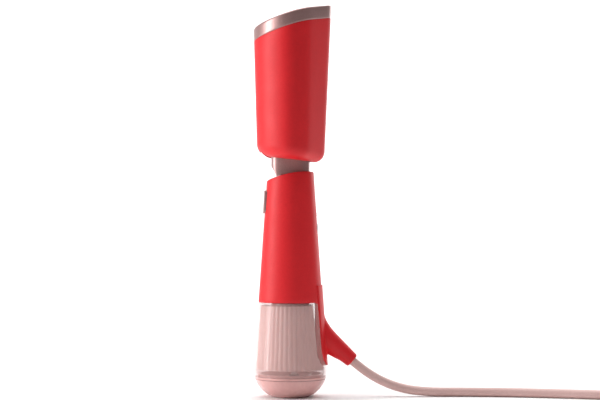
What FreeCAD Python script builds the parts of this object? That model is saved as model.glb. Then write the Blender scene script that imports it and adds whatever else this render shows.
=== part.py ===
"""Handheld garment steamer: a parametric FreeCAD document, in millimetres.

Frame: +Z up, -X the trigger side, +X the side the mains cord leaves, origin in the centre of the
tank's flat foot. Driving sizes stand in the spreadsheet "dims"; every Size below carries both its
number and the expression over those cells that FreeCAD keeps.
"""

import FreeCAD, Part
import math
import os

import Sketcher

V = FreeCAD.Vector

# ------------------------------------------------------------------ driving sizes

SIZES = {
    # overall
    "total_height": 350.0, "cone_base_radius": 34.5, "cone_taper": 0.0685,
    "fit_gap": 0.15, "moving_gap": 0.3, "slim_gap": 0.05,
    # tank
    "tank_wall": 2.2, "foot_arc": 25.4, "foot_arc_height": 23.9, "foot_top": 16.0,
    "ring_width": 2.6, "seam_height": 84.5, "deck_thickness": 2.4, "liner_wall": 1.2,
    "flute_depth": 0.8, "liner_base": 25.0, "collar_radius": 17.0, "collar_wall": 2.3,
    "collar_rise": 6.5,
    # handle
    "grip_wall": 2.4, "rim_arc": 110.0, "rim_peak_x": 20.0, "rim_height": 201.2,
    "neck_seat_height": 186.0, "base_plate": 4.5, "socket_wall": 2.0,
    # spine and cord boom
    "spine_half_width": 15.0, "spine_inner_x": 22.0, "spine_proud": 1.0, "spine_top": 100.0,
    "spine_low": 28.0, "boom_end_x": 55.6, "boom_end_height": 31.9, "boom_drop": 41.0,
    "boom_end_radius": 6.7, "boom_root_radius": 10.0, "boom_length": 38.0,
    "boom_bore": 5.2, "bush_depth": 22.0, "fairing_top": 78.0, "fairing_arc": 25.0,
    "fairing_half_width": 7.5,
    # neck and pivot
    "neck_radius": 17.2, "neck_bore": 7.5, "pivot_height": 219.0, "pin_radius": 3.0,
    "pin_reach": 14.5, "pin_root": 9.0, "tilt_limit": 48.0, "neck_relief_x": 12.5,
    "neck_relief_low": 196.0, "neck_relief_high": 206.0, "neck_tongue": 10.0,
    "shoulder_height": 202.0, "shoulder_x": 8.0, "shoulder_slope": 0.978,
    # head
    "head_low": 205.0, "head_high": 345.0, "head_front_low": 29.8, "head_front_high": 33.8,
    "head_back_low": 30.0, "head_back_high": 36.4, "head_side_low": 35.0, "head_side_high": 40.0,
    "head_wall": 2.5, "head_corner": 10.5, "underside_height": 212.0, "underside_slope": 0.11,
    "plate_slope": 0.3043, "rim_drop": 22.2, "highest_x": 34.5, "band_width": 7.0,
    "band_edge": 2.0, "plate_sink": 0.8, "steam_hole": 1.6, "pocket_wall": 2.0,
    "slot_gap": 0.7, "washer_rim": 3.5,
    # steam generator, measured down from the head's top
    "shield_drop": 98.0, "shield_thickness": 2.0, "cover_drop": 82.0, "cover_thickness": 5.0,
    "chamber_inset": 9.0, "heater_ring": 15.0, "heater_radius": 3.2, "heater_drop": 58.0,
    "screw_radius": 1.6, "screw_head": 3.0, "screw_head_height": 2.2, "screw_depth": 8.5,
    "chamber_screw_length": 44.0, "post_radius": 4.4, "thermostat_radius": 7.5,
    "thermostat_height": 8.0, "fuse_radius": 2.2, "fuse_length": 16.0, "inlet_radius": 3.4,
    "inlet_length": 12.0, "inlet_x": 14.0, "inlet_y": -4.0,
    # trigger and switches
    "trigger_width": 14.0, "trigger_low": 164.0, "trigger_high": 184.5, "trigger_proud": 1.7,
    "trigger_depth": 5.5, "trigger_spring": 2.6, "spring_outer": 3.0, "spring_inner": 2.0,
    "switch_depth": 6.0, "switch_half_width": 3.5, "switch_half_height": 6.0,
    "button_radius": 4.7, "button_height": 150.0, "button_depth": 4.0, "button_proud": 0.2,
    "button_spring": 2.2, "button_switch_depth": 3.4, "button_switch_half_width": 4.0,
    "button_switch_half_height": 5.0, "lens_radius": 1.6, "lens_height": 163.0,
    "lens_depth": 4.0, "lens_proud": 0.3,
    # pump
    "pump_x": 3.0, "pump_y": -3.0, "pump_radius": 8.0, "pump_low": 103.0, "pump_high": 148.0,
    "coil_radius": 12.5, "coil_low": 112.0, "coil_high": 134.0, "hose_radius": 2.5,
    "hose_bore": 1.4, "suction_low": 11.0, "filter_radius": 4.5, "filter_length": 9.0,
    # cord and plug
    "cord_diameter": 8.0, "coil_inner": 25.7, "coil_outer": 50.0, "coil_x": 346.0,
    "coil_y": 14.0, "plug_x": 366.0, "plug_y": 53.0, "plug_radius": 13.0,
    "plug_length": 30.0, "shoulder_length": 8.0, "sleeve_length": 22.0, "sleeve_radius": 6.5,
    "plug_pin_radius": 2.4, "plug_pin_length": 19.0, "plug_pin_spacing": 19.0,
    "tie_wall": 1.4, "tie_width": 12.0, "sleeve_gap": 0.6, "tail_bulge": 1.2,
}


class Size:
    """A number together with the spreadsheet expression that it comes from."""

    def __init__(self, value, text=None):
        self.value = float(value)
        self.text = f"({self.value!r})" if text is None else text

    def _joined(self, sign, other, value):
        return Size(value, f"({self.text} {sign} {other.text})")

    def __add__(self, other):
        other = size(other)
        return self._joined("+", other, self.value + other.value)

    def __sub__(self, other):
        other = size(other)
        return self._joined("-", other, self.value - other.value)

    def __mul__(self, other):
        other = size(other)
        return self._joined("*", other, self.value * other.value)

    def __truediv__(self, other):
        other = size(other)
        return self._joined("/", other, self.value / other.value)

    def __radd__(self, other):
        return size(other) + self

    def __rsub__(self, other):
        return size(other) - self

    def __rmul__(self, other):
        return size(other) * self

    def __neg__(self):
        return Size(0) - self


def size(number):
    """A Size made of a plain number, or the Size itself."""
    return number if isinstance(number, Size) else Size(number)


def root(number):
    return Size(math.sqrt(number.value), f"sqrt({number.text})")


def sine(angle):
    return Size(math.sin(math.radians(angle.value)), f"sin({angle.text})")


def cosine(angle):
    return Size(math.cos(math.radians(angle.value)), f"cos({angle.text})")


class Sheet:
    """The spreadsheet's cells as attributes, each one a Size."""

    def __init__(self, document, values):
        sheet = document.addObject("Spreadsheet::Sheet", "dims")
        for row, (alias, value) in enumerate(values.items(), start=1):
            sheet.set(f"A{row}", alias.replace("_", " "))
            sheet.set(f"B{row}", str(value))
            sheet.setAlias(f"B{row}", alias)
            setattr(self, alias, Size(value, f"dims.{alias}"))


doc = FreeCAD.newDocument("garment_steamer")
D = Sheet(doc, SIZES)
doc.recompute()
NODES = []

# ------------------------------------------------------------------ building blocks


def keep(thing, node):
    """Marks an object as a finished sub-part: its Label names its file."""
    thing.Label = node
    NODES.append(thing)
    return thing


def bind(thing, path, number):
    thing.setExpression(path, size(number).text)


def put(thing, x, y, z):
    for letter, number in zip("xyz", (x, y, z)):
        bind(thing, f"Placement.Base.{letter}", number)


def box(name, x, y, z):
    """A block between (low, high) pairs along X, Y and Z."""
    block = doc.addObject("Part::Box", name)
    for path, (low, high) in zip(("Length", "Width", "Height"), (x, y, z)):
        bind(block, path, size(high) - low)
    put(block, x[0], y[0], z[0])
    return block


TURN_TO = {"X": FreeCAD.Rotation(V(0, 1, 0), 90), "Y": FreeCAD.Rotation(V(1, 0, 0), -90),
           "Z": FreeCAD.Rotation()}


def rod(name, radius, start, length, along="Z"):
    """A cylinder from its start point along +X, +Y or +Z."""
    bar = doc.addObject("Part::Cylinder", name)
    bar.Placement = FreeCAD.Placement(V(), TURN_TO[along])
    bind(bar, "Radius", radius)
    bind(bar, "Height", length)
    put(bar, *start)
    return bar


def taper(name, radius_start, radius_end, start, length, along="Z"):
    """A cone from its start point along +X, +Y or +Z."""
    horn = doc.addObject("Part::Cone", name)
    horn.Placement = FreeCAD.Placement(V(), TURN_TO[along])
    bind(horn, "Radius1", radius_start)
    bind(horn, "Radius2", radius_end)
    bind(horn, "Height", length)
    put(horn, *start)
    return horn


def fuse(name, *shapes):
    joined = doc.addObject("Part::MultiFuse", name)
    joined.Shapes = list(shapes)
    joined.Refine = True
    return joined


def common(name, *shapes):
    shared = doc.addObject("Part::MultiCommon", name)
    shared.Shapes = list(shapes)
    return shared


def cut(name, base, *tools):
    left = doc.addObject("Part::Cut", name)
    left.Base = base
    left.Tool = tools[0] if len(tools) == 1 else fuse(name + "_tools", *tools)
    left.Refine = True
    return left


def tube(name, outer, inner, start, length, along="Z"):
    return cut(name, rod(name + "_outside", outer, start, length, along),
               rod(name + "_bore", inner, start, length, along))


def arc_between(start, end, radius):
    """The minor arc between two points: counter-clockwise for a positive radius, clockwise for a
    negative one. Returned as the sketch stores it, with the ends' order."""
    chord = end - start
    left = V(-chord.y, chord.x, 0).normalize()
    side = 1 if radius > 0 else -1
    half = chord.Length / 2
    rise = abs(radius) - math.sqrt(max(radius * radius - half * half, 0))
    crown = (start + end) / 2 - left * side * rise
    if side > 0:
        return Part.Arc(start, crown, end), (1, 2)
    return Part.Arc(end, crown, start), (2, 1)


def outline(body, plane, points):
    """A closed sketch on one of the body's origin planes. A point (u, v) ends a straight edge and
    (u, v, radius) ends an arc; each place and radius is bound to the sheet."""
    drawing = body.newObject("Sketcher::SketchObject", body.Name + "_outline")
    role = plane + "_Plane"
    base = next(item for item in body.Origin.OriginFeatures if item.Role == role)
    drawing.AttachmentSupport = [(base, "")]
    drawing.MapMode = "FlatFace"
    corners = [V(size(point[0]).value, size(point[1]).value, 0) for point in points]
    ends = []
    for i, point in enumerate(points):
        start = corners[i - 1]
        if len(point) == 3:
            edge, order = arc_between(start, corners[i], size(point[2]).value)
        else:
            edge, order = Part.LineSegment(start, corners[i]), (1, 2)
        drawing.addGeometry(edge, False)
        ends.append(order)
    for i, point in enumerate(points):
        after = (i + 1) % len(points)
        drawing.addConstraint(Sketcher.Constraint("Coincident", i, ends[i][1], after, ends[after][0]))
        for kind, number in (("DistanceX", point[0]), ("DistanceY", point[1])):
            row = drawing.addConstraint(Sketcher.Constraint(kind, i, ends[i][1], size(number).value))
            bind(drawing, f"Constraints[{row}]", number)
        if len(point) == 3:
            radius = size(point[2])
            radius = radius if radius.value > 0 else -radius
            row = drawing.addConstraint(Sketcher.Constraint("Radius", i, radius.value))
            bind(drawing, f"Constraints[{row}]", radius)
    return drawing


def turned(name, points):
    """A PartDesign body: a (radius, height) outline turned about Z."""
    body = doc.addObject("PartDesign::Body", name)
    spin = body.newObject("PartDesign::Revolution", name + "_turned")
    spin.Profile = outline(body, "XZ", points)
    spin.ReferenceAxis = (spin.Profile[0], ["V_Axis"])
    spin.Angle = 360
    return body


def slab(name, plane, points, low, high):
    """A PartDesign body: an outline padded between two levels along the plane's world axis.
    XY pads along Z, YZ along X, XZ along Y."""
    body = doc.addObject("PartDesign::Body", name)
    pad = body.newObject("PartDesign::Pad", name + "_pad")
    drawing = outline(body, plane, points)
    bind(drawing, "AttachmentOffset.Base.z", -size(high) if plane == "XZ" else low)
    pad.Profile = drawing
    bind(pad, "Length", size(high) - low)
    return body


def rounded(low, high, bottom, top, corner):
    """The outline of a rectangle with rounded corners, counter-clockwise."""
    low, high, bottom, top = size(low), size(high), size(bottom), size(top)
    return [(high - corner, bottom), (high, bottom + corner, corner), (high, top - corner),
            (high - corner, top, corner), (low + corner, top), (low, top - corner, corner),
            (low, bottom + corner), (low + corner, bottom, corner)]


def feature(name, shape):
    """A shape made with Part's own functions."""
    thing = doc.addObject("Part::Feature", name)
    thing.Shape = shape
    thing.Placement = FreeCAD.Placement()
    return thing


# ------------------------------------------------------------------ shared outlines

TANK_TOP = D.seam_height - D.moving_gap
SHELL_LOW = D.foot_top + D.ring_width
FOOT_CENTRE = D.cone_base_radius - D.cone_taper * D.foot_arc_height \
    - D.foot_arc * root(1 + D.cone_taper * D.cone_taper)
TANGENT_LIFT = D.foot_arc * D.cone_taper / root(1 + D.cone_taper * D.cone_taper)


def cone_radius(height, inset=0.0):
    """The radius of the grip's and tank's shared cone at a height."""
    return D.cone_base_radius - D.cone_taper * height - inset


def foot_radius(height, inset=0.0):
    """The radius of the tank's rounded foot at a height below its tangent point."""
    arc = D.foot_arc - inset
    rise = D.foot_arc_height - height
    return FOOT_CENTRE + root(arc * arc - rise * rise)


def tank_outline(low, high, inset):
    """The tank's side from a low level on the foot's arc to a high level on the cone."""
    lift = D.foot_arc_height + TANGENT_LIFT
    bend = D.foot_arc - inset
    return [(0, low), (foot_radius(low, inset), low), (cone_radius(lift, inset), lift, bend),
            (cone_radius(high, inset), high), (0, high)]


def tongue_outline(half, end, top):
    """A straight-sided strip with a round lower end, seen along X."""
    return [(half, top), (-half, top), (-half, end), (0, end - half, half), (half, end, half)]


def spine_recess(name, grow):
    """The space that the spine's tongue takes beside the tank, grown by a gap or a wall."""
    half = D.spine_half_width + grow
    end = D.spine_low + D.spine_half_width
    return slab(name, "YZ", tongue_outline(half, end, D.seam_height * 2), D.spine_inner_x - grow,
                D.spine_inner_x * 2)


# ------------------------------------------------------------------ tank


def tank_shell():
    """The clear outer wall with its deck, mouth and the flat recess that the spine slides in."""
    outside = cut("tank_outside", turned("tank_side", tank_outline(SHELL_LOW, TANK_TOP, size(0))),
                  spine_recess("tank_recess", D.moving_gap))
    inside = cut("tank_hollow", turned("tank_inner_side", tank_outline(
        SHELL_LOW - 1, TANK_TOP - D.deck_thickness, D.tank_wall)),
        spine_recess("tank_recess_wall", D.moving_gap + D.tank_wall))
    mouth = rod("tank_mouth", D.collar_radius + D.slim_gap, (0, 0, D.seam_height / 2), D.seam_height)
    keep(cut("tank_shell_solid", outside, inside, mouth), "tank_shell")


def tank_foot():
    """The opaque rounded cup that the steamer stands on."""
    lap = SHELL_LOW + D.tank_wall
    inner = D.tank_wall * 2
    points = [(0, 0), (foot_radius(size(0)), 0), (foot_radius(D.foot_top), D.foot_top, D.foot_arc),
              (foot_radius(D.foot_top, D.tank_wall), D.foot_top),
              (foot_radius(D.foot_top, D.tank_wall) - D.slim_gap, lap),
              (foot_radius(D.foot_top, inner), lap),
              (foot_radius(D.tank_wall + 2, inner), D.tank_wall + 2, -(D.foot_arc - inner)),
              (0, D.tank_wall)]
    keep(turned("tank_foot_solid", points), "tank_foot")


def tank_ring():
    """The band between the clear wall and the foot."""
    inner = foot_radius(D.foot_top, D.tank_wall) + D.slim_gap
    points = [(inner, D.foot_top), (foot_radius(D.foot_top), D.foot_top),
              (foot_radius(SHELL_LOW), SHELL_LOW), (inner, SHELL_LOW)]
    keep(turned("tank_ring_solid", points), "tank_ring")


def fluted_wire(height, inset, flutes=42):
    """A closed ring of shallow arcs at a height inside the tank's wall."""
    radius = cone_radius(height, D.tank_wall + D.fit_gap + inset).value
    valley = radius - D.flute_depth.value
    step = 2 * math.pi / flutes
    edges = []
    for i in range(flutes):
        start, middle, end = (i * step, (i + 0.5) * step, (i + 1) * step)
        places = [(valley, start), (radius, middle), (valley, end)]
        points = [V(r * math.cos(a), r * math.sin(a), height.value) for r, a in places]
        edges.append(Part.Arc(*points).toShape())
    return Part.Wire(edges)


def tank_liner():
    """The ribbed sleeve inside the clear wall, open where the spine's recess passes."""
    top = TANK_TOP - D.deck_thickness - D.fit_gap
    outer = Part.makeLoft([fluted_wire(D.liner_base, size(0)), fluted_wire(top, size(0))], True, True)
    inner = Part.makeCone(
        cone_radius(D.liner_base, D.tank_wall + D.liner_wall + D.flute_depth).value,
        cone_radius(top, D.tank_wall + D.liner_wall + D.flute_depth).value,
        (top - D.liner_base).value, V(0, 0, D.liner_base.value))
    sleeve = feature("tank_liner_sleeve", outer.cut(inner))
    gap = spine_recess("tank_liner_gap", D.moving_gap + D.tank_wall + D.fit_gap)
    keep(cut("tank_liner_solid", sleeve, gap), "tank_liner")


def tank_collar():
    """The mouth's raised collar, which plugs into the handle's socket."""
    low = TANK_TOP - D.deck_thickness * 2
    keep(tube("tank_collar_solid", D.collar_radius, D.collar_radius - D.collar_wall,
              (0, 0, low), TANK_TOP + D.collar_rise - low), "tank_collar")


# ------------------------------------------------------------------ handle


def trigger_outline(grow):
    half = D.trigger_width / 2 + grow
    return rounded(-half, half, D.trigger_low - grow, D.trigger_high + grow, size(3) + grow)


def grip_solid(name, inset, low, high):
    return turned(name, [(0, low), (cone_radius(low, inset), low),
                         (cone_radius(high, inset), high), (0, high)])


def handle_shells():
    """The grip's left and right halves, split on the plane of the trigger and the cord."""
    high = D.rim_height + 5
    rim_centre = D.rim_height - D.rim_arc
    outside = common("grip_outside", grip_solid("grip_cone", size(0), D.seam_height, high),
                     rod("grip_rim", D.rim_arc, (D.rim_peak_x, -D.rim_arc, rim_centre),
                         D.rim_arc * 2, "Y"))
    hollow = grip_solid("grip_hollow", D.grip_wall, D.seam_height - 1, D.neck_seat_height)
    seat = rod("grip_neck_seat", D.neck_radius + D.slim_gap, (0, 0, D.neck_seat_height - 1), 30)
    window = slab("grip_window", "YZ", trigger_outline(D.moving_gap), -D.cone_base_radius, -10)
    button_hole = rod("grip_button_hole", D.button_radius + D.moving_gap,
                      (12, 0, D.button_height), D.cone_base_radius, "X")
    lens_hole = rod("grip_lens_hole", D.lens_radius, (12, 0, D.lens_height), 20, "X")
    spine_gap = box("grip_spine_gap", (D.spine_inner_x - D.fit_gap, D.cone_base_radius * 2),
                    (-D.spine_half_width - D.fit_gap, D.spine_half_width + D.fit_gap),
                    (D.seam_height - 5, D.spine_top + D.fit_gap))
    bored = cut("grip_shell", outside, hollow, seat, window, button_hole, lens_hole, spine_gap)
    for side, sign in (("left", -1), ("right", 1)):
        reach = D.cone_base_radius * 2
        span = (-reach, size(0)) if sign < 0 else (size(0), reach)
        half = box(f"grip_{side}_space", (-reach, reach), span, (0, D.total_height))
        posts = [rod(f"grip_{side}_post_{i}", D.post_radius, (x, span[0], z), reach, "Y")
                 for i, (x, z) in enumerate(GRIP_SCREWS)]
        posts = common(f"grip_{side}_posts", fuse(f"grip_{side}_post_group", *posts), outside)
        holes = [hole for i in range(len(GRIP_SCREWS)) for hole in screw_holes(side, i)]
        joined = fuse(f"grip_{side}_joined", common(f"grip_{side}_blank", bored, half), posts)
        keep(cut(f"grip_{side}_solid", joined, *holes), f"handle_shell_{side}")


GRIP_SCREWS = ((-19.0, 105.0), (-16.6, 152.0), (17.2, 176.0))


def screw_holes(side, i):
    """The hole for one grip screw: blind in the left post, with a head's recess in the right."""
    x, z = GRIP_SCREWS[i]
    radius = D.screw_radius + D.slim_gap
    if side == "left":
        return [rod(f"grip_left_hole_{i}", radius, (x, -D.screw_depth, z), D.screw_depth, "Y")]
    return [rod(f"grip_right_hole_{i}", radius, (x, 0, z), D.screw_depth, "Y"),
            rod(f"grip_right_recess_{i}", D.screw_head + D.fit_gap, (x, D.screw_depth, z),
                D.cone_base_radius, "Y")]


def handle_screws():
    """Screws that join the grip's halves, their heads sunk in the right half."""
    length = D.screw_depth * 1.9
    shanks = [rod(f"grip_screw_{i}", D.screw_radius, (x, D.screw_depth - length, z), length, "Y")
              for i, (x, z) in enumerate(GRIP_SCREWS)]
    heads = [rod(f"grip_screw_head_{i}", D.screw_head, (x, D.screw_depth, z),
                 D.screw_head_height, "Y") for i, (x, z) in enumerate(GRIP_SCREWS)]
    keep(fuse("handle_screws_solid", *shanks, *heads), "handle_screws")


SOCKET_INNER = D.collar_radius + D.moving_gap
SOCKET_TOP = TANK_TOP + D.collar_rise + D.moving_gap


def handle_base():
    """The grip's bottom plate with the socket that the tank's collar plugs into."""
    top = D.seam_height + D.base_plate
    edge = D.grip_wall + D.fit_gap
    cap = SOCKET_TOP + D.socket_wall
    inner = SOCKET_INNER
    points = [(inner, D.seam_height), (cone_radius(D.seam_height, edge), D.seam_height),
              (cone_radius(top, edge), top), (inner + D.socket_wall, top),
              (inner + D.socket_wall, cap), (0, cap), (0, SOCKET_TOP), (inner, SOCKET_TOP)]
    flat = box("base_spine_flat", (D.spine_inner_x - D.fit_gap, D.cone_base_radius * 2),
               (-D.cone_base_radius, D.cone_base_radius), (0, D.total_height))
    pipe = rod("base_pipe_hole", D.hose_radius + D.slim_gap, (D.pump_x, D.pump_y, SOCKET_TOP - 1),
               D.socket_wall + 2)
    groove = tube("base_gasket_groove", inner + D.socket_wall + D.slim_gap, inner - 1,
                  (0, 0, D.seam_height - 1), D.socket_wall + 1)
    keep(cut("handle_base_solid", turned("base_turned", points), flat, pipe, groove), "handle_base")
    keep(tube("base_gasket_solid", inner + D.socket_wall, inner,
              (0, 0, D.seam_height), D.socket_wall - D.slim_gap), "base_gasket")


def boom_point(distance, lift=0.0):
    """A point on the boom's axis at a distance back from its end, lifted square to the axis."""
    lift = size(lift)
    return (D.boom_end_x - cosine(D.boom_drop) * distance + sine(D.boom_drop) * lift,
            D.boom_end_height + sine(D.boom_drop) * distance + cosine(D.boom_drop) * lift)


def boom_cone(name, radius_root, radius_end, back, length):
    """A cone along the boom's axis from a distance back of its end."""
    horn = doc.addObject("Part::Cone", name)
    horn.Placement = FreeCAD.Placement(V(), FreeCAD.Rotation(V(0, 1, 0), 90))
    bind(horn, "Placement.Rotation.Angle", D.boom_drop + 90)
    bind(horn, "Radius1", radius_root)
    bind(horn, "Radius2", radius_end)
    bind(horn, "Height", length)
    x, z = boom_point(back)
    put(horn, x, 0, z)
    return horn


def rear_spine():
    """The back tongue that the tank slides beside, with the boom that carries the cord."""
    tongue = common(
        "spine_tongue",
        grip_solid("spine_cone", -D.spine_proud, size(0), D.spine_top),
        slab("spine_plan", "YZ", tongue_outline(D.spine_half_width, D.spine_low
                                                + D.spine_half_width, D.spine_top),
             D.spine_inner_x, D.cone_base_radius * 2))
    back_x = cone_radius(D.fairing_top, -D.spine_proud)
    run = D.fairing_arc * 0.4142
    knee_x, knee_z = back_x + run * 0.7071, D.fairing_top - run * 1.7071
    tip_x, tip_z = boom_point(12.0)
    fairing = slab("spine_fairing", "XZ", [
        (D.spine_inner_x + 1, D.fairing_top), (back_x, D.fairing_top),
        (knee_x, knee_z, -D.fairing_arc), (tip_x, tip_z), (D.spine_inner_x + 1, D.spine_low + 14)],
        -D.fairing_half_width, D.fairing_half_width)
    horn = boom_cone("boom_horn", D.boom_root_radius, D.boom_end_radius, D.boom_length, D.boom_length)
    behind = box("spine_clear_of_tank", (0, D.spine_inner_x), (-50, 50), (0, D.total_height))
    bore = boom_cone("boom_bore_hole", D.boom_bore + 0.4, D.boom_bore, D.bush_depth,
                     D.bush_depth + 1)
    keep(cut("rear_spine_solid", fuse("spine_joined", tongue, fairing, horn), behind, bore),
         "rear_spine")
    keep(boom_cone("cord_bush_solid", D.boom_bore + 0.4 - D.slim_gap, D.boom_bore - D.slim_gap,
                   D.bush_depth, D.bush_depth), "cord_bush")


def neck():
    """The hinge's barrel, clamped in the grip's top, that narrows to a domed tongue."""
    post = rod("neck_post", D.neck_radius, (0, 0, D.neck_seat_height),
               D.pivot_height - D.neck_seat_height)
    ball = doc.addObject("Part::Sphere", "neck_ball")
    bind(ball, "Radius", D.neck_radius)
    put(ball, 0, 0, D.pivot_height)
    relief = slab("neck_relief", "XZ", [
        (-D.neck_radius - 5, D.neck_seat_height + 8), (-D.neck_relief_x, D.neck_seat_height + 8),
        (-D.neck_relief_x, D.neck_relief_low), (-D.neck_radius - 0.1, D.neck_relief_high, -15),
        (-D.neck_radius - 5, D.neck_relief_high)], -D.neck_radius - 5, D.neck_radius + 5)
    bore = rod("neck_bore_hole", D.neck_bore, (0, 0, D.neck_seat_height - 1), 60)
    pin_hole = rod("neck_pin_hole", D.pin_radius + D.slim_gap,
                   (0, -D.neck_radius - 5, D.pivot_height), (D.neck_radius + 5) * 2, "Y")
    reach = D.neck_radius + 5
    cheek = [(-reach, D.shoulder_height - (reach - D.shoulder_x) * D.shoulder_slope),
             (-D.shoulder_x, D.shoulder_height), (reach, D.shoulder_height),
             (reach, D.pivot_height + reach), (-reach, D.pivot_height + reach)]
    cheeks = [slab("neck_cheek_left", "XZ", cheek, -reach, -D.neck_tongue),
              slab("neck_cheek_right", "XZ", cheek, D.neck_tongue, reach)]
    keep(cut("neck_solid", fuse("neck_joined", post, ball), relief, bore, pin_hole, *cheeks),
         "neck")


def trigger():
    """The steam trigger: a curved pad in the grip's window with a stem to its switch."""
    face = turned("trigger_face", [
        (0, D.trigger_low - 2), (cone_radius(D.trigger_low, -D.trigger_proud), D.trigger_low - 2),
        (cone_radius(D.trigger_high, -D.trigger_proud), D.trigger_high + 2),
        (0, D.trigger_high + 2)])
    front = -cone_radius(D.trigger_high, 0) + D.trigger_depth
    pad = common("trigger_pad", face, slab("trigger_block", "YZ", trigger_outline(size(0)),
                                           -D.cone_base_radius, front))
    middle = (D.trigger_low + D.trigger_high) / 2
    stem = rod("trigger_stem", D.spring_outer, (front - 0.5, 0, middle), 2.0, "X")
    keep(fuse("trigger_solid", pad, stem), "trigger")
    spring_start = front + 1.5
    keep(tube("trigger_spring_solid", D.spring_outer, D.spring_inner, (spring_start, 0, middle),
              D.trigger_spring, "X"), "trigger_spring")
    switch = spring_start + D.trigger_spring
    keep(box("trigger_switch_solid", (switch, switch + D.switch_depth),
             (-D.switch_half_width, D.switch_half_width),
             (middle - D.switch_half_height, middle + D.switch_half_height)), "trigger_switch")


def power_button():
    """A flush power button on the back of the grip, its spring, switch and pilot lens."""
    z = D.button_height
    back = cone_radius(z, -D.button_proud) - D.button_depth
    button = common("button_blank", rod("button_rod", D.button_radius, (back, 0, z),
                                        D.button_depth * 2, "X"),
                    grip_solid("button_face", -D.button_proud, D.seam_height, D.rim_height))
    keep(button, "power_button")
    switch = back - D.button_spring
    keep(tube("power_spring_solid", D.spring_outer, D.spring_inner, (switch, 0, z),
              D.button_spring, "X"), "power_spring")
    keep(box("power_switch_solid", (switch - D.button_switch_depth, switch),
             (-D.button_switch_half_width, D.button_switch_half_width),
             (z - D.button_switch_half_height, z + D.button_switch_half_height)), "power_switch")
    lens = common("lens_blank", rod("lens_rod", D.lens_radius - D.slim_gap,
                                    (cone_radius(D.lens_height, D.lens_depth), 0, D.lens_height),
                                    D.lens_depth * 2, "X"),
                  grip_solid("lens_face", -D.lens_proud, D.seam_height, D.rim_height))
    keep(lens, "indicator_lens")


def pump():
    """The water pump, its coil, and the pipes that bring water up to the neck."""
    x, y = D.pump_x, D.pump_y
    keep(rod("pump_body_solid", D.pump_radius, (x, y, D.pump_low), D.pump_high - D.pump_low),
         "pump_body")
    keep(tube("pump_coil_solid", D.coil_radius, D.pump_radius + D.slim_gap, (x, y, D.coil_low),
              D.coil_high - D.coil_low), "pump_coil")
    start = D.suction_low + D.filter_length
    keep(tube("suction_tube_solid", D.hose_radius, D.hose_bore, (x, y, start), D.pump_low - start),
         "suction_tube")
    keep(rod("suction_filter_solid", D.filter_radius, (x, y, D.suction_low), D.filter_length),
         "suction_filter")
    keep(tube("riser_hose_solid", D.hose_radius, D.hose_bore, (x, y, D.pump_high),
              D.pivot_height - 8 - D.pump_high), "riser_hose")


def chassis():
    """The inner plate that carries the pump and the control board, and the board."""
    plate = box("chassis_plate", (-12, 12), (10.6, 12.4), (D.pump_low - 2, D.neck_seat_height - 6))
    shelf = box("chassis_shelf", (-9, 12), (8.2, 10.6), (D.pump_high - 10, D.pump_high - 6))
    keep(fuse("chassis_solid", plate, shelf), "chassis")
    board = box("board_plate", (-9, 9), (12.9, 14.3), (D.pump_low + 12, D.neck_seat_height - 16))
    parts = [box("board_relay", (-7, 5), (14.3, 17), (D.pump_low + 18, D.pump_low + 34)),
             rod("board_capacitor", 3, (3, 14.3, D.pump_low + 42), 3.2, "Y")]
    keep(fuse("control_board_solid", board, *parts), "control_board")


# ------------------------------------------------------------------ head


def head_wire(height, inset):
    """The head's rounded three-sided plan at a height: a broad front arc, two side arcs, a tip
    arc at the back and two straight flanks, all tangent, drawn in by an inset."""
    share = (height - D.head_low.value) / (D.head_high - D.head_low).value

    def between(low, high):
        return low.value + (high.value - low.value) * share

    front = -between(D.head_front_low, D.head_front_high)
    back = between(D.head_back_low, D.head_back_high)
    half = between(D.head_side_low, D.head_side_high)
    side_radius = 0.55 * half
    side_y = half - side_radius
    tip_radius = 0.35 * half
    tip_x = back - tip_radius
    front_radius = (side_radius ** 2 - front ** 2 - side_y ** 2) / (2 * (front + side_radius))
    front_x = front + front_radius
    flank = math.atan2(side_y, -tip_x) - math.acos(
        (tip_radius - side_radius) / math.hypot(tip_x, side_y))
    shoulder = math.atan2(side_y, -front_x)

    def on(centre_x, centre_y, radius, angle):
        radius -= inset
        return V(centre_x + radius * math.cos(angle), centre_y + radius * math.sin(angle), height)

    def arc(centre_x, centre_y, radius, first, last):
        turns = (first, (first + last) / 2, last)
        return Part.Arc(*[on(centre_x, centre_y, radius, turn) for turn in turns]).toShape()

    return Part.Wire([
        arc(tip_x, 0, tip_radius, -flank, flank),
        Part.LineSegment(on(tip_x, 0, tip_radius, flank),
                         on(0, side_y, side_radius, flank)).toShape(),
        arc(0, side_y, side_radius, flank, shoulder),
        arc(front_x, 0, front_radius, shoulder, 2 * math.pi - shoulder),
        arc(0, -side_y, side_radius, -shoulder, -flank),
        Part.LineSegment(on(0, -side_y, side_radius, -flank),
                         on(tip_x, 0, tip_radius, -flank)).toShape()])


def head_block(inset, low, high, slope_low=0.0, slope_high=0.0):
    """The head's tapered block between two planes z = level + slope x, drawn in by an inset."""
    ends = (D.underside_height.value - 32.0, D.total_height.value + 30.0)
    blank = Part.makeLoft([head_wire(height, inset) for height in ends], True, True)
    reach = 70.0
    corners = [V(-reach, -reach, low - slope_low * reach), V(reach, -reach, low + slope_low * reach),
               V(reach, -reach, high + slope_high * reach),
               V(-reach, -reach, high - slope_high * reach)]
    wedge = Part.Face(Part.makePolygon(corners + corners[:1])).extrude(V(0, 2 * reach, 0))
    return blank.common(wedge)


RIM = (D.total_height - D.rim_drop).value
SLOPE = D.plate_slope.value
FACE = D.total_height.value - SLOPE * D.highest_x.value
UNDER = D.underside_height.value
UNDER_SLOPE = -D.underside_slope.value


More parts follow.
